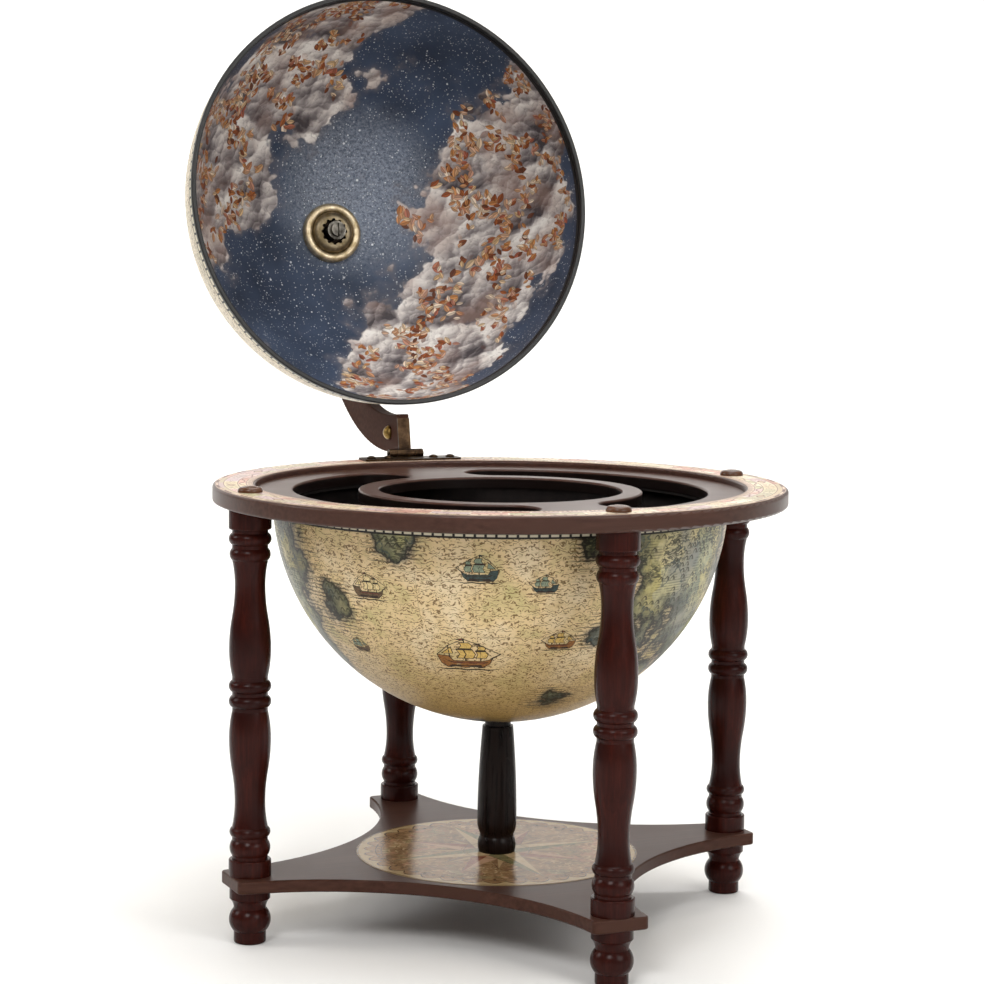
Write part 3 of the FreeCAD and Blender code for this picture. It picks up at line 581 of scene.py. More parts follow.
def engraved_sea(node, globe, shore):
    """Cream paper, tanner low down and paler up north, partly as painted light, covered in short curled
    waves, with level hatching off the shores.
    """
    blotch = node("TexNoise", {"Vector": globe.ray, "Scale": globe_radius / sea_blotches, "Detail": 5.0})
    sea = node("ValToRGB", [blotch], stops=((0.32, "#bcae78"), (0.68, "#dfcba6"), (0.5, "#d9bf90")))
    stain_space = {"Vector": globe.ray, "Scale": globe_radius / sea_stains}
    stain = node("TexNoise", {**stain_space, "Detail": 6.0, "Roughness": 0.7})

    swell_space = {"Vector": globe.sheet, "Scale": 1 / wave_swell}
    swell = node("TexNoise", {**swell_space, "Detail": 2.0, "Roughness": 0.6})
    crest = node("Math", [swell, wave_sway, globe.up], **SCALED_PLUS)
    crest = node("Math", [crest, wave_half_pitch], **FOLDED)
    crest = node("MapRange", [crest, *wave_line], **EASE)
    break_space = node("Mapping", {"Vector": globe.sheet, "Scale": repeats(wave_gaps)})
    breaks = node("TexNoise", {"Vector": break_space, "Scale": 1.0, "Detail": 2.0})
    waves = node("Math", [crest, node("MapRange", [breaks, *wave_broken], **EASE)], **TIMES)

    hatch = node("Math", [swell, hatch_sway, globe.up], **SCALED_PLUS)
    hatch = node("MapRange", [node("Math", [hatch, hatch_half_pitch], **FOLDED), *hatch_line], **EASE)
    stroke_space = node("Mapping", {"Vector": globe.sheet, "Scale": repeats(hatch_strokes)})
    strokes = node("TexNoise", {"Vector": stroke_space, "Scale": 1.0, "Detail": 2.0})
    hatch = node("Math", [hatch, node("MapRange", [strokes, *hatch_broken], **EASE)], **TIMES)
    hatch = node("Math", [hatch, node("MapRange", [shore, *shore_near], **EASE)], **TIMES)
    layers = (
        (node("MapRange", [globe.latitude, *sea_tanned], **EASE), "#a98a52"),
        # Paler paper on the northern half: partly its own paler tone, partly painted light on the lid's
        # outside
        (node("MapRange", [globe.latitude, *sea_pale_and_painted_light], **EASE), "#e9e1cf"),
        (node("MapRange", [stain, *sea_stained], **EASE), "#9c8355"),
        (waves, "#654825"),
        (node("MapRange", [shore, *shore_washed], **EASE), "#4c4a45"),
        (hatch, "#2f281b"),
    )
    for share, tint in layers:
        sea = node("Mix", {0: share, 6: sea, 7: linear(tint)}, **LAYER)
    return sea


def hill_marks(node, globe):
    """Rows of small drawn hills, half of them left out: an arch each, hatched on its shaded side."""
    row = node("Math", [node("Math", [globe.up, 1 / hill_pitch], **TIMES)], operation="FLOOR")
    along = node("Math", [row, hill_width * hill_stagger, globe.along], **SCALED_PLUS)
    column = node("Math", [node("Math", [along, 1 / hill_width], **TIMES)], operation="FLOOR")
    across = node("Math", [node("Math", [along, hill_width], **REPEATED), hill_width / 2], **LESS)
    rise = node("Math", [node("Math", [globe.up, hill_pitch], **REPEATED), hill_pitch * hill_foot], **LESS)
    lot = node("TexWhiteNoise", {"Vector": node("CombineXYZ", [column, row, 0.0])}, noise_dimensions="3D")
    arch = node("Math", [node("Math", [across, across], **TIMES), hill_curve, rise], **SCALED_PLUS)
    arch = node("Math", [arch, hill_pitch * hill_top], **LESS)
    outline = node("MapRange", [node("Math", [arch], **WITHOUT_SIGN), *hill_line], **EASE)
    shaded = node("MapRange", [arch, *hill_shade], **EASE)
    shaded = node("Math", [shaded, node("MapRange", [across, *hill_dark_side])], **TIMES)
    mark = node("Math", [outline, shaded], operation="MAXIMUM")
    clear = node("MapRange", [rise, *(hill_pitch * share for share in hill_row_gap)])
    kept = node("Math", [node("MapRange", [lot, *hill_chosen]), clear], **TIMES)
    return node("Math", [mark, kept], **TIMES)


def tinted_land(node, globe, shore):
    """Washes of olive, cream and slate by region, with drawn hills, woods and rivers, dark at the shore."""
    sway_space = {"Vector": globe.ray, "Scale": globe_radius / region_sway}
    sway = node("TexNoise", {**sway_space, "Detail": 4.0}, out="Color")
    swayed = node("VectorMath", [sway, region_sway_reach, globe.ray], **SCALED_PLUS)
    regions = node("TexVoronoi", {"Vector": swayed, "Scale": globe_radius / region_width}, out="Color")
    wash = node(
        "ValToRGB",
        [node("SeparateColor", [regions])],
        stops=(
            (0.05, "#b2a669"), (0.95, "#cdbf8d"), (0.25, "#979763"), (0.45, "#bbaf75"), (0.62, "#80866f"),
            (0.8, "#a5a582"),
        ),
    )
    blotch_space = {"Vector": globe.ray, "Scale": globe_radius / land_blotches}
    blotch = node("TexNoise", {**blotch_space, "Detail": 6.0, "Roughness": 0.7})
    slate = node("TexNoise", {"Vector": globe.ray, "Scale": globe_radius / land_slates, "Detail": 3.0})
    lines = node("MapRange", [node("Math", [globe.up, land_line_half_pitch], **FOLDED), *land_line], **EASE)
    lines = node("Math", [lines, node("MapRange", [blotch, *land_dusky], **EASE)], **TIMES)
    hills = node("Math", [hill_marks(node, globe), hill_ink], **TIMES)
    curl_space = node("Mapping", {"Vector": globe.sheet, "Scale": repeats(wood_curls)})
    curls = node("TexNoise", {"Vector": curl_space, "Scale": 1.0, "Detail": 3.0, "Distortion": 1.4})
    woods = node("TexNoise", {"Vector": globe.ray, "Scale": globe_radius / wood_patches, "Detail": 4.0})
    woods = node("Math", [woods, node("MapRange", [globe.latitude, *wood_northern])], **PLUS)
    woods = node("MapRange", [woods, *wooded], **EASE)
    woods = node("Math", [node("MapRange", [curls, *wood_curled], **EASE), woods], **TIMES)
    rivers = node("TexNoise", {"Vector": globe.ray, "Scale": globe_radius / river_bends, "Detail": 5.0})
    rivers = node("Math", [node("Math", [rivers, river_level], **LESS)], **WITHOUT_SIGN)
    layers = (
        (node("MapRange", [blotch, *land_pale], **EASE), "#cfc08e"),
        (node("MapRange", [slate, *land_slated], **EASE), "#747879"),
        (node("MapRange", [shore, *land_edge], **EASE), "#3f4236"),
        (lines, "#3a3822"),
        (hills, "#2f2a1a"),
        (woods, "#1c2013"),
        (node("MapRange", [rivers, *river_line], **EASE), "#33403f"),
    )
    for share, tint in layers:
        wash = node("Mix", {0: share, 6: wash, 7: linear(tint)}, **LAYER)
    return wash


def antique_map(node, globe, equator):
    """An engraved and hand-tinted map of invented lands, browned by its varnish."""
    shore = shore_field(node, globe)
    coast = node("MapRange", [node("Math", [shore], **WITHOUT_SIGN), *shore_line], **EASE)
    sea = engraved_sea(node, globe, shore)
    land = tinted_land(node, globe, shore)
    sheet = node("Mix", {0: node("MapRange", [shore, *shore_step]), 6: sea, 7: land}, **LAYER)

    # Graticule, and the dashed band on the equator
    half_step = graticule_step / 2
    narrow = node("Math", [node("Math", [globe.latitude], operation="COSINE"), globe_radius], **TIMES)
    to_meridian = node("Math", [node("Math", [globe.longitude, half_step], **FOLDED), narrow], **TIMES)
    to_parallel = node("Math", [node("Math", [globe.latitude, half_step], **FOLDED), globe_radius], **TIMES)
    line = node("Math", [to_meridian, to_parallel], operation="MINIMUM")
    reach, dash_low, dash_high = equator
    level = node("Math", [globe.height], **WITHOUT_SIGN)
    black = node("MapRange", [level, reach + band_blur, reach - band_blur])
    dash = node("MapRange", [node("Math", [globe.along, dash_half_pitch], **FOLDED), *dash_gap])
    dashes = node("Math", [band(node, level, dash_low, dash_high), dash], **TIMES)
    layers = (
        (coast, "#231f17"),
        (node("MapRange", [line, *graticule_line], **EASE), "#4f3d22"),
        (black, "#14110f"),
        (dashes, "#cfc6ae"),
    )
    for share, tint in layers:
        sheet = node("Mix", {0: share, 6: sheet, 7: linear(tint)}, **LAYER)
    return sheet


def pole_chart(node, globe):
    """The inside of the lid laid flat round its pole, in millimetres."""
    axes = node("SeparateXYZ", [globe.ray]).node.outputs
    spoke = node("VectorMath", [node("CombineXYZ", [axes["X"], axes["Y"], 0.0])], operation="NORMALIZE")
    reach = node("Math", [node("Math", [axes["Z"]], operation="ARCCOSINE"), globe_radius], **TIMES)
    return node("VectorMath", {0: spoke, "Scale": reach}, operation="SCALE")


def cloud_bank(node, spot):
    """How far a spot is inside one of the two banks of cloud that the river of stars runs between."""
    bend = node("TexNoise", {"Vector": spot, "Scale": 1 / bank_bends, "Detail": 4.0, "Roughness": 0.55})
    slant = node("VectorMath", [spot, bank_slant], **DOT)
    slant = node("Math", [bend, bank_bend_weight, slant], **SCALED_PLUS)
    slant = node("Math", [node("Math", [slant, bank_middle], **LESS)], **WITHOUT_SIGN)
    inner = node("MapRange", [slant, *bank_inner_edge], **EASE)
    return node("Math", [inner, node("MapRange", [slant, *bank_outer_edge], **EASE)], **TIMES)


def heaped_heads(node, chart):
    """Heads of cloud on heads of cloud: how full each spot is, and how squarely it faces the light."""
    sway = node("TexNoise", {"Vector": chart, "Scale": 1 / head_sway, "Detail": 3.0}, out="Color")
    swayed = node("VectorMath", [sway, head_sway_reach, chart], **SCALED_PLUS)
    full = 0.0
    lit = 0.0
    for across, weight in CLOUD_HEADS:
        head_space = {"Vector": swayed, "Scale": 1 / across, "Smoothness": 0.3}
        head = node("TexVoronoi", head_space, voronoi_dimensions="2D", feature="SMOOTH_F1").node.outputs
        away = node("VectorMath", [swayed, head["Position"]], **LESS)
        facing = node("VectorMath", [away, tuple(head_light / across)], **DOT)
        lit = node("Math", [facing, weight, lit], **SCALED_PLUS)
        full = node("Math", [head["Distance"], -weight, full], **SCALED_PLUS)
    return full, lit


def blown_leaves(node, chart, under):
    """Autumn leaves blown into drifts: pointed, ribbed, each lying its own way in its own warm colour."""
    for spacing, shift in LEAF_LAYERS:
        moved = node("VectorMath", [chart, (shift, -shift, 0.0)], **PLUS)
        leaf_space = {"Vector": moved, "Scale": 1 / spacing, "Randomness": 0.9}
        leaf = node("TexVoronoi", leaf_space, voronoi_dimensions="2D").node.outputs
        lots = node("SeparateColor", [leaf["Color"]]).node.outputs
        away = node("VectorMath", [moved, leaf["Position"]], **LESS)
        turn = node("Math", [lots["Red"], 2 * pi], **TIMES)
        laid = node("VectorRotate", {"Vector": away, "Angle": turn}, rotation_type="Z_AXIS")
        axes = node("SeparateXYZ", [laid]).node.outputs
        side = node("Math", [axes["Y"]], **WITHOUT_SIGN)
        half_width = leaf_half_width * spacing
        half_length = leaf_half_length * spacing
        taper = node("Math", [axes["X"], axes["X"]], **TIMES)
        width = node("Math", [taper, -half_width / half_length ** 2, half_width], **SCALED_PLUS)
        within = node("Math", [width, side], **LESS)
        home = node("VectorMath", [leaf["Position"], (shift, -shift, 0.0)], **LESS)
        drift = node("TexNoise", {"Vector": home, "Scale": 1 / leaf_drifts, "Detail": 3.0, "Roughness": 0.6})
        kept = node("Math", [drift, node("MapRange", [cloud_bank(node, home), *leaf_on_cloud])], **TIMES)
        shape = node("MapRange", [within, *leaf_blur])
        shape = node("Math", [shape, node("MapRange", [kept, *leaf_kept])], **TIMES)
        colour = node(
            "ValToRGB",
            [lots["Green"]],
            stops=(
                (0.04, "#6a3a24"), (0.96, "#efdcc4"), (0.18, "#a85a30"), (0.34, "#d09056"), (0.5, "#dcb79a"),
                (0.64, "#b05c46"), (0.8, "#e0bd8c"),
            ),
        )
        edge = node("MapRange", [within, *leaf_edge])
        line = node("Math", [edge, node("MapRange", [side, *leaf_rib])], operation="MAXIMUM")
        half = node("MapRange", [axes["Y"], *leaf_dark_half])
        colour = node("Mix", {0: half, 6: colour, 7: linear("#4a2a1c")}, **LAYER)
        colour = node("Mix", {0: line, 6: colour, 7: linear("#2e1c14")}, **LAYER)
        under = node("Mix", {0: shape, 6: under, 7: colour}, **LAYER)
    return under


def starry_sky(node, globe):
    """A painted night: a river of stars between two banks of lit cloud, with autumn leaves along them, and a
    pale glow by the pole that is partly a painted reflection.
    """
    chart = pole_chart(node, globe)
    night = node("TexNoise", {"Vector": globe.ray, "Scale": globe_radius / night_tones, "Detail": 5.0})
    sky = node("ValToRGB", [night], stops=((0.3, "#283142"), (0.7, "#455269")))
    # A pale glow near the pole: part of the painted sky, and partly a painted reflection of the studio light
    glow = node("VectorMath", [globe.ray, towards(*glow_place)], **DOT)
    glow = node("MapRange", [glow, *glow_reach], **EASE)
    dust = node("TexNoise", {"Vector": globe.place, "Scale": 1 / glow_dust, "Detail": 3.0, "Roughness": 0.8})
    glow = node("Math", [glow, node("MapRange", [dust, *glow_dusted])], **TIMES)
    glow = node("Math", [glow, glow_share], **TIMES)
    sky = node("Mix", {0: glow, 6: sky, 7: linear("#b1bac8")}, **LAYER)
    for spacing, size, least in STARS:
        star_space = {"Vector": globe.place, "Scale": 1 / spacing}
        spot = node("MapRange", [node("TexVoronoi", star_space), size, size * star_heart], **EASE)
        lot = node("SeparateColor", [node("TexVoronoi", star_space, out="Color")])
        shine = node("Math", [spot, node("MapRange", [lot, least, 1.0], **EASE)], **TIMES)
        sky = node("Mix", {0: shine, 6: sky, 7: linear("#dfe3e6")}, **LAYER)

    full, lit = heaped_heads(node, chart)
    warm = node("TexNoise", {"Vector": chart, "Scale": 1 / cloud_warmth, "Detail": 4.0})
    stroke_space = {"Vector": chart, "Scale": 1 / cloud_strokes}
    strokes = node("TexNoise", {**stroke_space, "Detail": 4.0, "Distortion": 1.6})
    cloud = node(
        "ValToRGB",
        [node("MapRange", [lit, *head_lit])],
        stops=((0.0, "#453f42"), (1.0, "#f4efe8"), (0.3, "#827a7a"), (0.5, "#aca4a1"), (0.72, "#d6cec8")),
    )
    warmed = node("MapRange", [warm, *cloud_warmed], **EASE)
    cloud = node("Mix", {0: warmed, 6: cloud, 7: linear("#a8897c")}, **LAYER)
    stroked = node("MapRange", [strokes, *cloud_stroked], **EASE)
    cloud = node("Mix", {0: stroked, 6: cloud, 7: linear("#5b4f4c")}, **LAYER)
    cover = node("Math", [full, head_to_bank, cloud_bank(node, chart)], **SCALED_PLUS)
    misted = node("MapRange", [cover, *cloud_mist], **EASE)
    sky = node("Mix", {0: misted, 6: sky, 7: linear("#6f6b70")}, **LAYER)
    clouded = node("MapRange", [cover, *cloud_edge], **EASE)
    sky = node("Mix", {0: clouded, 6: sky, 7: cloud}, **LAYER)
    sky = blown_leaves(node, chart, sky)
    # A near-black band along the rim, inside the lid
    rim_band = node("MapRange", [globe.height, sky_rim_band, sky_rim_band - sky_rim_band_blur])
    return node("Mix", {0: rim_band, 6: sky, 7: linear("#171514")}, **LAYER)


def bare_shell(node, globe):
    """The moulded shell's unprinted inside."""
    speck = node("TexNoise", {"Vector": globe.place, "Scale": 1 / shell_specks, "Detail": 4.0})
    return node("ValToRGB", [speck], stops=((0.3, "#120e0d"), (0.7, "#1d1614")))


def printed_globe(name, centre, tilt, turn, equator, inside, inside_roughness):
    """Printed paper gores on a moulded shell, varnished: satin, with the tooth of the paper just felt."""
    material, node = start_material(name)
    globe = Globe(node, centre, tilt, turn)
    inner = inside(node, globe)
    outer = antique_map(node, globe, equator)
    colour = node("Mix", {0: globe.outside, 6: inner, 7: outer}, **LAYER)
    sheen = node(
        "MapRange", {"Value": globe.outside, "To Min": inside_roughness, "To Max": varnish_roughness}
    )
    paper = node("TexNoise", {"Vector": globe.place, "Scale": 1 / paper_tooth, "Detail": 2.0})
    tooth = node("Bump", {"Height": paper, "Strength": 0.05, "Distance": paper_tooth_depth * MM})
    shader = node(
        "BsdfPrincipled",
        {
            "Base Color": colour, "Roughness": sheen, "IOR": 1.46, "Specular IOR Level": 0.3,
            "Coat Weight": 0.04, "Coat Roughness": 0.22, "Normal": tooth,
        },
    )
    node("OutputMaterial", [shader])
    return material


def printed_ink(name, colour, shade):
    """Ink on the globe's paper: thin, a little worn, with the paper's tooth in it."""
    material, node = start_material(name)
    wear_space = {"Vector": place_in_mm(node), "Scale": 1 / ink_wear}
    wear = node("TexNoise", {**wear_space, "Detail": 4.0, "Roughness": 0.65})
    ink = node("ValToRGB", [wear], stops=((0.35, shade), (0.62, colour)))
    shader = node(
        "BsdfPrincipled", {"Base Color": ink, "Roughness": 0.5, "IOR": 1.46, "Specular IOR Level": 0.35}
    )
    node("OutputMaterial", [shader])
    return material


def polar_place(node):
    """The place on the level, its distance from the stand's axis in millimetres, and the turn round it."""
    axes = node("SeparateXYZ", [place_in_mm(node)]).node.outputs
    flat = node("CombineXYZ", [axes["X"], axes["Y"], 0.0])
    radius = node("VectorMath", [flat], **LENGTH)
    return flat, radius, node("Math", [axes["Y"], axes["X"]], operation="ARCTAN2")


def star_points(node, turn, radius, count, outer, inner, offset):
    """A flat star: where it is, its inked edge, and which half of each point is the shaded one."""
    wedge = pi / count
    turned = node("Math", [turn, offset], **PLUS)
    folded = node("Math", [turned, wedge], **FOLDED)
    notch = Vector((inner * cos(wedge), inner * sin(wedge)))
    edge = notch - Vector((outer, 0.0))
    normal = Vector((edge.y, -edge.x)).normalized()
    ahead = node("Math", [node("Math", [folded], operation="COSINE"), normal.x], **TIMES)
    beside = node("Math", [node("Math", [folded], operation="SINE"), normal.y], **TIMES)
    out = node("Math", [node("Math", [ahead, beside], **PLUS), radius], **TIMES)
    out = node("Math", [out, normal.x * outer], **LESS)
    shape = node("MapRange", [out, *star_edge])
    rim = node("Math", [shape, node("MapRange", [out, *star_rim])], **TIMES)
    half = node("Math", [turned, 2 * wedge], **REPEATED)
    return shape, rim, node("MapRange", [half, wedge - star_fold_blur, wedge + star_fold_blur])


def compass_card():
    """A printed card under lacquer: a wind rose in worn ink on yellowed paper, with a scalloped edge."""
    material, node = start_material("printed_compass_card")
    flat, radius, turn = polar_place(node)
    age = node("TexNoise", {"Vector": flat, "Scale": 1 / compass_age, "Detail": 5.0, "Roughness": 0.62})
    paper = node("ValToRGB", [age], stops=((0.3, "#634830"), (0.7, "#a08060"), (0.5, "#846647")))
    ground = band(node, radius, *compass_ground)
    for across, span, tint in COMPASS_SCROLLS:
        scroll = node("TexNoise", {"Vector": flat, "Scale": 1 / across, "Detail": 3.0, "Distortion": 1.8})
        scroll = node("Math", [node("MapRange", [scroll, *span], **EASE), ground], **TIMES)
        paper = node("Mix", {0: scroll, 6: paper, 7: linear(tint)}, **LAYER)
    for count, outer, inner, offset, light, dark in COMPASS_STARS:
        shape, rim, shaded = star_points(node, turn, radius, count, outer, inner, offset)
        tone = node("Mix", {0: shaded, 6: linear(light), 7: linear(dark)}, **LAYER)
        shape = node("Math", [shape, compass_star_ink], **TIMES)
        rim = node("Math", [rim, compass_rim_ink], **TIMES)
        paper = node("Mix", {0: shape, 6: paper, 7: tone}, **LAYER)
        paper = node("Mix", {0: rim, 6: paper, 7: linear("#35241a")}, **LAYER)
    ink = linear("#432c1c")
    scallops = node("Math", [node("Math", [turn, compass_scallops / 2], **TIMES)], operation="SINE")
    scallops = node("Math", [scallops], **WITHOUT_SIGN)
    scallops = node("Math", [scallops, -compass_scallop_depth, radius], **SCALED_PLUS)
    ticks = node("MapRange", [node("Math", [turn, compass_tick_half_step], **FOLDED), *compass_tick_line])
    ticks = node("Math", [ticks, band(node, radius, *compass_tick_ring)], **TIMES)
    edge = node("MapRange", [scallops, *compass_scallop_edge])
    paper = node("Mix", {0: edge, 6: paper, 7: linear("#a58f69")}, **LAYER)
    paper = node("Mix", {0: band(node, scallops, *compass_scallop_line), 6: paper, 7: ink}, **LAYER)
    paper = node("Mix", {0: ticks, 6: paper, 7: ink}, **LAYER)
    for low, high in COMPASS_RINGS:
        ring = node("Math", [band(node, radius, low, high), compass_ring_ink], **TIMES)
        paper = node("Mix", {0: ring, 6: paper, 7: ink}, **LAYER)
    wear = node("TexNoise", {"Vector": flat, "Scale": 1 / compass_wear, "Detail": 6.0, "Roughness": 0.7})
    worn = node("MapRange", [wear, *compass_worn], **EASE)
    paper = node("Mix", {0: worn, 6: paper, 7: linear("#9a7a55")}, **LAYER)
    gloss = node("MapRange", {"Value": age, "To Min": 0.14, "To Max": 0.24})
    shader = node(
        "BsdfPrincipled",
        {
            "Base Color": paper, "Roughness": gloss, "IOR": 1.5, "Specular IOR Level": 0.09,
            "Coat Weight": 0.02, "Coat Roughness": 0.08,
        },
    )
    node("OutputMaterial", [shader])
    return material


def horizon_card():
    """A printed paper ring under satin varnish: plain scales and small ornaments in faded red ink."""
    material, node = start_material("printed_horizon_card")
    flat, radius, turn = polar_place(node)
    age = node("TexNoise", {"Vector": flat, "Scale": 1 / horizon_age, "Detail": 5.0, "Roughness": 0.6})
    paper = node("ValToRGB", [age], stops=((0.3, "#b59d86"), (0.7, "#d8c4ae")))
    ink = linear("#6b372c")
    for step, low, high in HORIZON_PANELS:
        panel = node("Math", [node("Math", [turn, 1 / radians(step)], **TIMES)], operation="FLOOR")
        lot = node("TexWhiteNoise", {"W": node("Math", [panel, low], **PLUS)}, noise_dimensions="1D")
        tint = node(
            "ValToRGB",
            [lot],
            stops=(
                (0.0, "#ecdfc9"), (1.0, "#b8836f"), (0.22, "#d0bd98"), (0.42, "#b4b18b"), (0.62, "#c3aeb0"),
                (0.82, "#d6ab98"),
            ),
        )
        row = band(node, radius, low, high)
        border = node("Math", [node("Math", [turn, radians(step) / 2], **FOLDED), low], **TIMES)
        border = node("Math", [node("MapRange", [border, *horizon_border]), row], **TIMES)
        panel = node("Math", [row, horizon_panel_ink], **TIMES)
        paper = node("Mix", {0: panel, 6: paper, 7: tint}, **LAYER)
        paper = node("Mix", {0: border, 6: paper, 7: linear("#efe6d4")}, **LAYER)
    for low, high, step, width in HORIZON_TICKS:
        tick = node("Math", [turn, radians(step) / 2], **FOLDED)
        tick = node("MapRange", [tick, width, width * horizon_tick_core, 0.0, horizon_tick_ink])
        tick = node("Math", [tick, band(node, radius, low, high)], **TIMES)
        paper = node("Mix", {0: tick, 6: paper, 7: ink}, **LAYER)

    half_check = horizon_check_step / 2
    check = node("Math", [turn, horizon_check_step], **REPEATED)
    check = node("MapRange", [check, half_check - horizon_check_blur, half_check + horizon_check_blur])
    check = node("Math", [check, band(node, radius, *horizon_check_ring)], **TIMES)
    sway = node("Math", [node("Math", [turn, horizon_vine_waves], **TIMES)], operation="SINE")
    vine = node("Math", [sway, -horizon_vine_sway, radius], **SCALED_PLUS)
    vine = node("Math", [band(node, vine, *horizon_vine_ring), horizon_line_ink], **TIMES)
    leaf = node("Math", [turn, horizon_leaf_half_step], **FOLDED)
    leaf = node("Math", [leaf, horizon_leaf_radius], **TIMES)
    beside = node("Math", [node("Math", [radius, horizon_vine_middle], **LESS)], **WITHOUT_SIGN)
    leaf = node("MapRange", [node("Math", [leaf, beside], **PLUS), *horizon_leaf])
    paper = node("Mix", {0: check, 6: paper, 7: linear("#532820")}, **LAYER)
    paper = node("Mix", {0: vine, 6: paper, 7: ink}, **LAYER)
    paper = node("Mix", {0: leaf, 6: paper, 7: linear("#7c4a30")}, **LAYER)

    month = node("Math", [node("Math", [turn, horizon_month], **REPEATED), horizon_month / 2], **LESS)
    lozenge = node("Math", [node("Math", [month], **WITHOUT_SIGN), horizon_lozenge_radius], **TIMES)
    middle = node("Math", [node("Math", [radius, horizon_lozenge_middle], **LESS)], **WITHOUT_SIGN)
    lozenge = node("Math", [middle, horizon_lozenge_squash, lozenge], **SCALED_PLUS)
    for reach, tint in HORIZON_LOZENGES:
        shape = node("MapRange", [lozenge, reach, reach - horizon_lozenge_blur])
        paper = node("Mix", {0: shape, 6: paper, 7: linear(tint)}, **LAYER)
    along = node("Math", [turn, horizon_lozenge_radius / horizon_curl_length], **TIMES)
    across = node("Math", [radius, 1 / horizon_curl_height], **TIMES)
    curl_space = node("CombineXYZ", [along, across, 0.0])
    curls = node("TexNoise", {"Vector": curl_space, "Scale": 1.0, "Detail": 3.0, "Distortion": 1.2})
    curls = node("MapRange", [curls, *horizon_curled], **EASE)
    curls = node("Math", [curls, node("MapRange", [lozenge, *horizon_curl_clearance])], **TIMES)
    curls = node("Math", [curls, band(node, radius, *horizon_curl_ring)], **TIMES)
    paper = node("Mix", {0: curls, 6: paper, 7: ink}, **LAYER)
    for at, width in HORIZON_LINES:
        ring = node("Math", [band(node, radius, at - width / 2, at + width / 2), horizon_line_ink], **TIMES)
        paper = node("Mix", {0: ring, 6: paper, 7: ink}, **LAYER)
    shader = node(
        "BsdfPrincipled", {"Base Color": paper, "Roughness": 0.38, "IOR": 1.48, "Specular IOR Level": 0.35}
    )
    node("OutputMaterial", [shader])
    return material


# Plastics, metals and paint
def moulded_plastic(name, colour, shade, roughness):
    """Injection-moulded plastic with a fine sparked texture: an even, quiet sheen."""
    material, node = start_material(name)
    place = place_in_mm(node)
    sparks = node("TexNoise", {"Vector": place, "Scale": 1 / plastic_sparks, "Detail": 2.0})
    mottle = node("TexNoise", {"Vector": place, "Scale": 1 / plastic_mottle, "Detail": 3.0})
    body = node("ValToRGB", [mottle], stops=((0.3, shade), (0.7, colour)))
    texture = node("Bump", {"Height": sparks, "Strength": 0.08, "Distance": plastic_spark_depth * MM})
    shader = node(
        "BsdfPrincipled",
        {
            "Base Color": body, "Roughness": roughness, "IOR": 1.49, "Specular IOR Level": 0.35,
            "Normal": texture,
        },
    )
    node("OutputMaterial", [shader])
    return material


def worked_metal(name, colour, tarnish, roughness, recess=None):
    """Metal that has been handled: bright on the whole, tarnish in clouds; on the rosette a darker dome, and
    painted shade in its recess.
    """
    material, node = start_material(name)
    place = place_in_mm(node)
    cloud = node("TexNoise", {"Vector": place, "Scale": 1 / metal_tarnish, "Detail": 5.0, "Roughness": 0.65})
    fine = node("TexNoise", {"Vector": place, "Scale": 1 / metal_grit, "Detail": 2.0})
    face = node("ValToRGB", [cloud], stops=((0.38, tarnish), (0.62, colour)))
    gloss = node("MapRange", [cloud, *metal_tarnished, roughness + metal_gloss_spread, roughness])
    if recess:
        globe = Globe(node, lid_centre, lid_tilt, lid_turn)
        axes = node("SeparateXYZ", [globe.place]).node.outputs
        spoke = node("VectorMath", [node("CombineXYZ", [axes["X"], axes["Y"], 0.0])], **LENGTH)
        # The dome is coloured darker than the flange, and the recess is painted near-black as shade
        dome = (rosette_dome + dome_blur, rosette_dome - dome_blur)
        darker_dome = node("MapRange", [spoke, *dome, 0.0, dome_darkening])
        sunk = node("MapRange", [axes["Z"], *(rosette_lip + depth for depth in recess_shade_depths)])
        recess_shade = node("Math", [node("MapRange", [spoke, recess + recess_shade_blur, recess]), sunk], **TIMES)
        face = node("Mix", {0: darker_dome, 6: face, 7: linear("#4d4029")}, **LAYER)
        face = node("Mix", {0: recess_shade, 6: face, 7: linear("#1a1410")}, **LAYER)
    grit = node("Bump", {"Height": fine, "Strength": 0.05, "Distance": metal_grit_depth * MM})
    shader = node(
        "BsdfPrincipled", {"Base Color": face, "Metallic": 1.0, "Roughness": gloss, "Normal": grit}
    )
    node("OutputMaterial", [shader])
    return material


def studio_paint():
    """Matt white paint of the studio's room."""
    material, node = start_material("studio_white_paint")
    mottle = node("TexNoise", {"Vector": place_in_mm(node), "Scale": 1 / paint_mottle, "Detail": 2.0})
    paint = node("ValToRGB", [mottle], stops=((0.2, "#f1f0ee"), (0.8, "#f4f3f1")))
    shader = node("BsdfPrincipled", {"Base Color": paint, "Roughness": 0.9, "Specular IOR Level": 0.1})
    node("OutputMaterial", [shader])
    return material


# Studio
def build_room():
    """A closed white room with rounded edges: a plain floor, and a plain backdrop from every side."""
    bpy.ops.mesh.primitive_cube_add(size=1.0)
    room = bpy.context.object
    room.name = "studio_room"
    bpy.ops.object.mode_set(mode="EDIT")
    bpy.ops.transform.resize(value=(room_length, room_width, room_height))
    bpy.ops.transform.translate(value=(0.0, 0.0, room_height / 2))
    bpy.ops.mesh.bevel(offset=room_round, segments=room_segments)
    bpy.ops.object.mode_set(mode="OBJECT")
    bpy.ops.object.shade_smooth()
    room.data.materials.append(studio_paint())


def build_light(name, place, aim, width, power):
    """A round softbox at a place, facing a point."""
    bpy.ops.object.light_add(type="AREA", location=place)
    light = bpy.context.object
    light.name = name
    light.data.shape = "DISK"
    light.data.size = width
    light.data.energy = power
    light.rotation_euler = (Vector(aim) - Vector(place)).to_track_quat("-Z", "Y").to_euler()


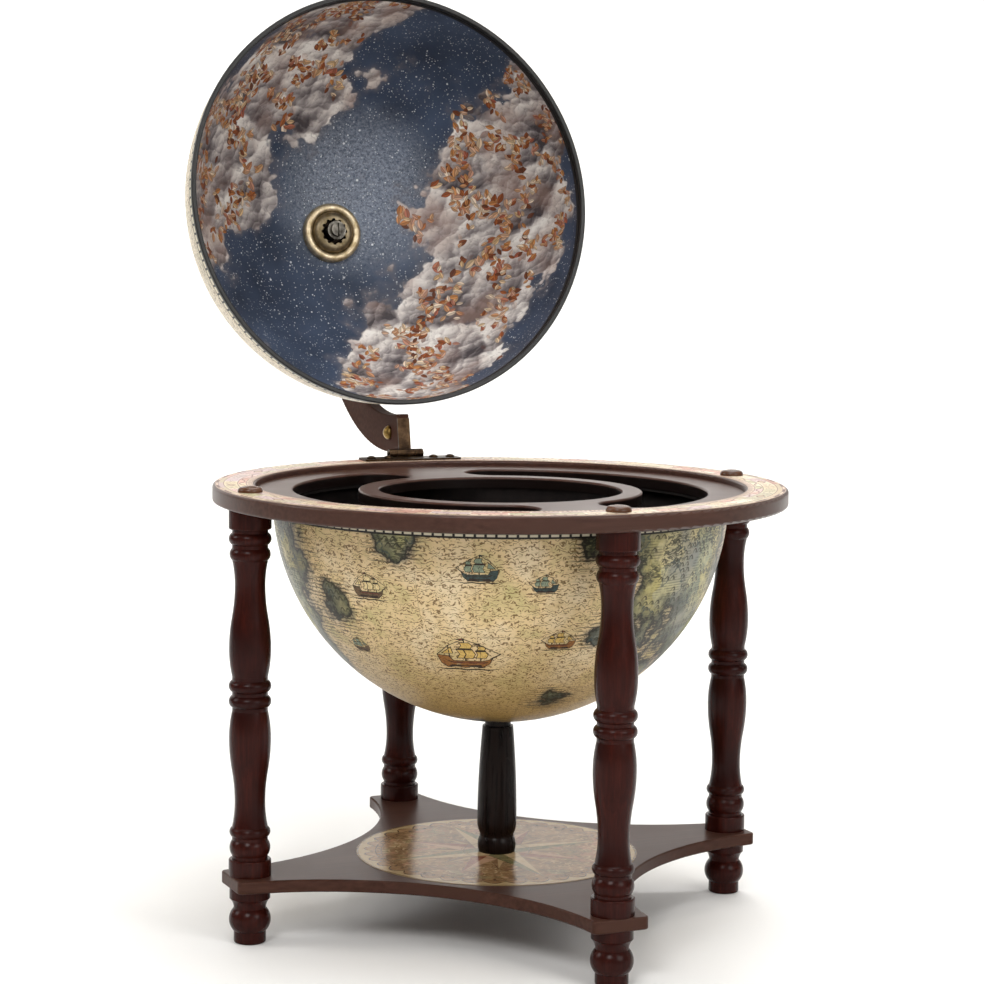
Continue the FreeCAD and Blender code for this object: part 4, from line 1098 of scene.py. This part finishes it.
def build_studio():
    """The room and its softboxes. The air beyond the room only shows where the room is hidden."""
    build_room()
    for name, settings in LIGHTS.items():
        build_light(name, *settings)
    world = bpy.data.worlds.new("studio_air")
    world.use_nodes = True
    world.node_tree.nodes["Background"].inputs["Color"].default_value = linear("#f6f6f7")
    world.node_tree.nodes["Background"].inputs["Strength"].default_value = air_light
    bpy.context.scene.world = world
    bpy.context.scene.view_settings.view_transform = "Standard"


def build_camera():
    """The camera at the photograph's viewpoint."""
    bpy.ops.object.camera_add()
    camera = bpy.context.object
    camera.name = "photo_camera"
    camera.data.lens = camera_lens
    camera.data.sensor_width = camera_sensor
    back = Matrix.Translation((0, -camera_reach * MM, camera_height * MM))
    stance = Matrix.Rotation(radians(camera_round), 4, "Z") @ back
    level = Matrix.Rotation(pi / 2 + radians(camera_pitch), 4, "X")
    aim = Matrix.Rotation(-radians(camera_pan), 4, "Z") @ level
    camera.matrix_world = stance @ aim @ Matrix.Rotation(radians(camera_roll), 4, "Z")
    bpy.context.scene.camera = camera


# Ships printed on the globe
def draw_shape(outline, ink, inks, size, way):
    """One inked shape, flat: a filled outline with a dark line round it."""
    bpy.ops.mesh.primitive_circle_add(vertices=len(outline), fill_type="NGON")
    shape = bpy.context.object
    for vertex, (right, up) in zip(shape.data.vertices, outline):
        vertex.co = (right * size * way, up * size, 0.0)
    for name in inks:
        shape.data.materials.append(inks[name])
    for face in shape.data.polygons:
        face.material_index = list(inks).index("line_ink")
    bpy.ops.object.mode_set(mode="EDIT")
    bpy.ops.mesh.select_all(action="SELECT")
    bpy.ops.mesh.normals_make_consistent(inside=False)
    bpy.ops.mesh.inset(thickness=ship_outline * size)
    shape.active_material_index = list(inks).index(ink)
    bpy.ops.object.material_slot_assign()
    bpy.ops.mesh.select_all(action="SELECT")
    bpy.ops.mesh.quads_convert_to_tris()
    bpy.ops.mesh.subdivide(number_cuts=1)
    bpy.ops.object.mode_set(mode="OBJECT")
    return shape


def draw_ships(name, places, centre, tilt, turn, inks, body):
    """All the ships of one half of the globe, laid on its skin as a film of ink."""
    swing = Matrix.Rotation(radians(turn), 4, "Z") @ Matrix.Rotation(radians(tilt), 4, "X")
    rest = Matrix.Translation(centre) @ swing
    shapes = []
    for longitude, latitude, size, way, colouring in places:
        narrow = globe_radius * cos(radians(latitude))
        for ink, outline in SHIP:
            shape = draw_shape(outline, COLOURINGS[colouring].get(ink, ink), inks, size, way)
            for vertex in shape.data.vertices:
                right, up, _ = vertex.co
                aim = towards(longitude + degrees(right / narrow), latitude + degrees(up / globe_radius))
                vertex.co = rest @ (Vector(aim) * (globe_radius + print_lift)) * MM
            shapes.append(shape)
    bpy.ops.object.select_all(action="DESELECT")
    for shape in shapes:
        shape.select_set(True)
    bpy.context.view_layer.objects.active = shapes[0]
    bpy.ops.object.join()
    ships = bpy.context.object
    ships.name = name
    film = ships.modifiers.new("film", "SOLIDIFY")
    film.thickness = print_lift * film_to_lift * MM
    film.offset = -1.0
    bpy.ops.object.modifier_apply(modifier=film.name)
    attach(ships, body)


# Finishes of the model's own nodes
def dress(material, *names):
    """Gives CAD nodes a finish."""
    for name in names:
        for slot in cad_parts[name].material_slots:
            slot.material = material


sides = ("front", "right", "back", "left")
dress(turned_rubberwood(), *("leg_" + side for side in sides), *("foot_" + side for side in sides))
dress(stained_board("stained_board_ring", gloss=0.26, specular=0.19), "table_ring")
dress(stained_board("stained_board_shelf", gloss=0.28, specular=0.075), "shelf")
dress(stained_board("stained_board_satin", gloss=0.46, specular=0.02), "meridian_board")
dress(ebonised_wood(), "centre_post", "post_collar")
dress(raw_board(), "well_floor")
dress(
    printed_globe(
        "printed_bowl", bowl_centre, bowl_tilt, bowl_turn, bowl_band, bare_shell, inside_roughness=0.9
    ),
    "lower_hemisphere",
)
dress(
    printed_globe("printed_lid", lid_centre, lid_tilt, lid_turn, lid_band, starry_sky, inside_roughness=0.5),
    "upper_hemisphere",
)
dress(compass_card(), "compass_print")
dress(horizon_card(), "horizon_print")
dress(moulded_plastic("moulded_dark_hoop", "#1d1b1a", "#141312", roughness=0.36), "lid_rim")
dress(moulded_plastic("moulded_brown_cap", "#5b3a26", "#432818", roughness=0.26), "bolt_caps")
dress(
    worked_metal("bronzed_steel", "#4b3a2a", "#2a1f17", roughness=0.34),
    "hinge_base_leaf", "hinge_pin", "hinge_strap", "hinge_screws",
)
dress(
    worked_metal("plain_steel", "#b9b6b0", "#8d8a84", roughness=0.26),
    "bowl_screws", "leg_bolts", "leg_studs", "post_washers", "post_screws", "hinge_cross_bolt",
)
dress(
    worked_metal("blackened_steel", "#6a665f", "#33302c", roughness=0.34),
    "pole_screw", "pole_washer", "pole_sleeve",
)
dress(
    worked_metal("aged_brass", "#a3874d", "#5e4a29", roughness=0.26),
    "hinge_dome_nuts", "pole_bush", "pole_knob",
)
dress(
    worked_metal("aged_brass_rosette", "#e4d4b6", "#b5a27d", roughness=0.42, recess=rosette_recess),
    "pole_rosette",
)

bpy.ops.object.select_all(action="DESELECT")
inks = {ink: printed_ink(*settings) for ink, settings in INKS.items()}
draw_ships("printed_bowl_ships", BOWL_SHIPS, bowl_centre, bowl_tilt, bowl_turn, inks, "stand")
draw_ships("printed_lid_ships", LID_SHIPS, lid_centre, lid_tilt, lid_turn, inks, "lid")

bpy.ops.object.select_all(action="DESELECT")
build_studio()
build_camera()
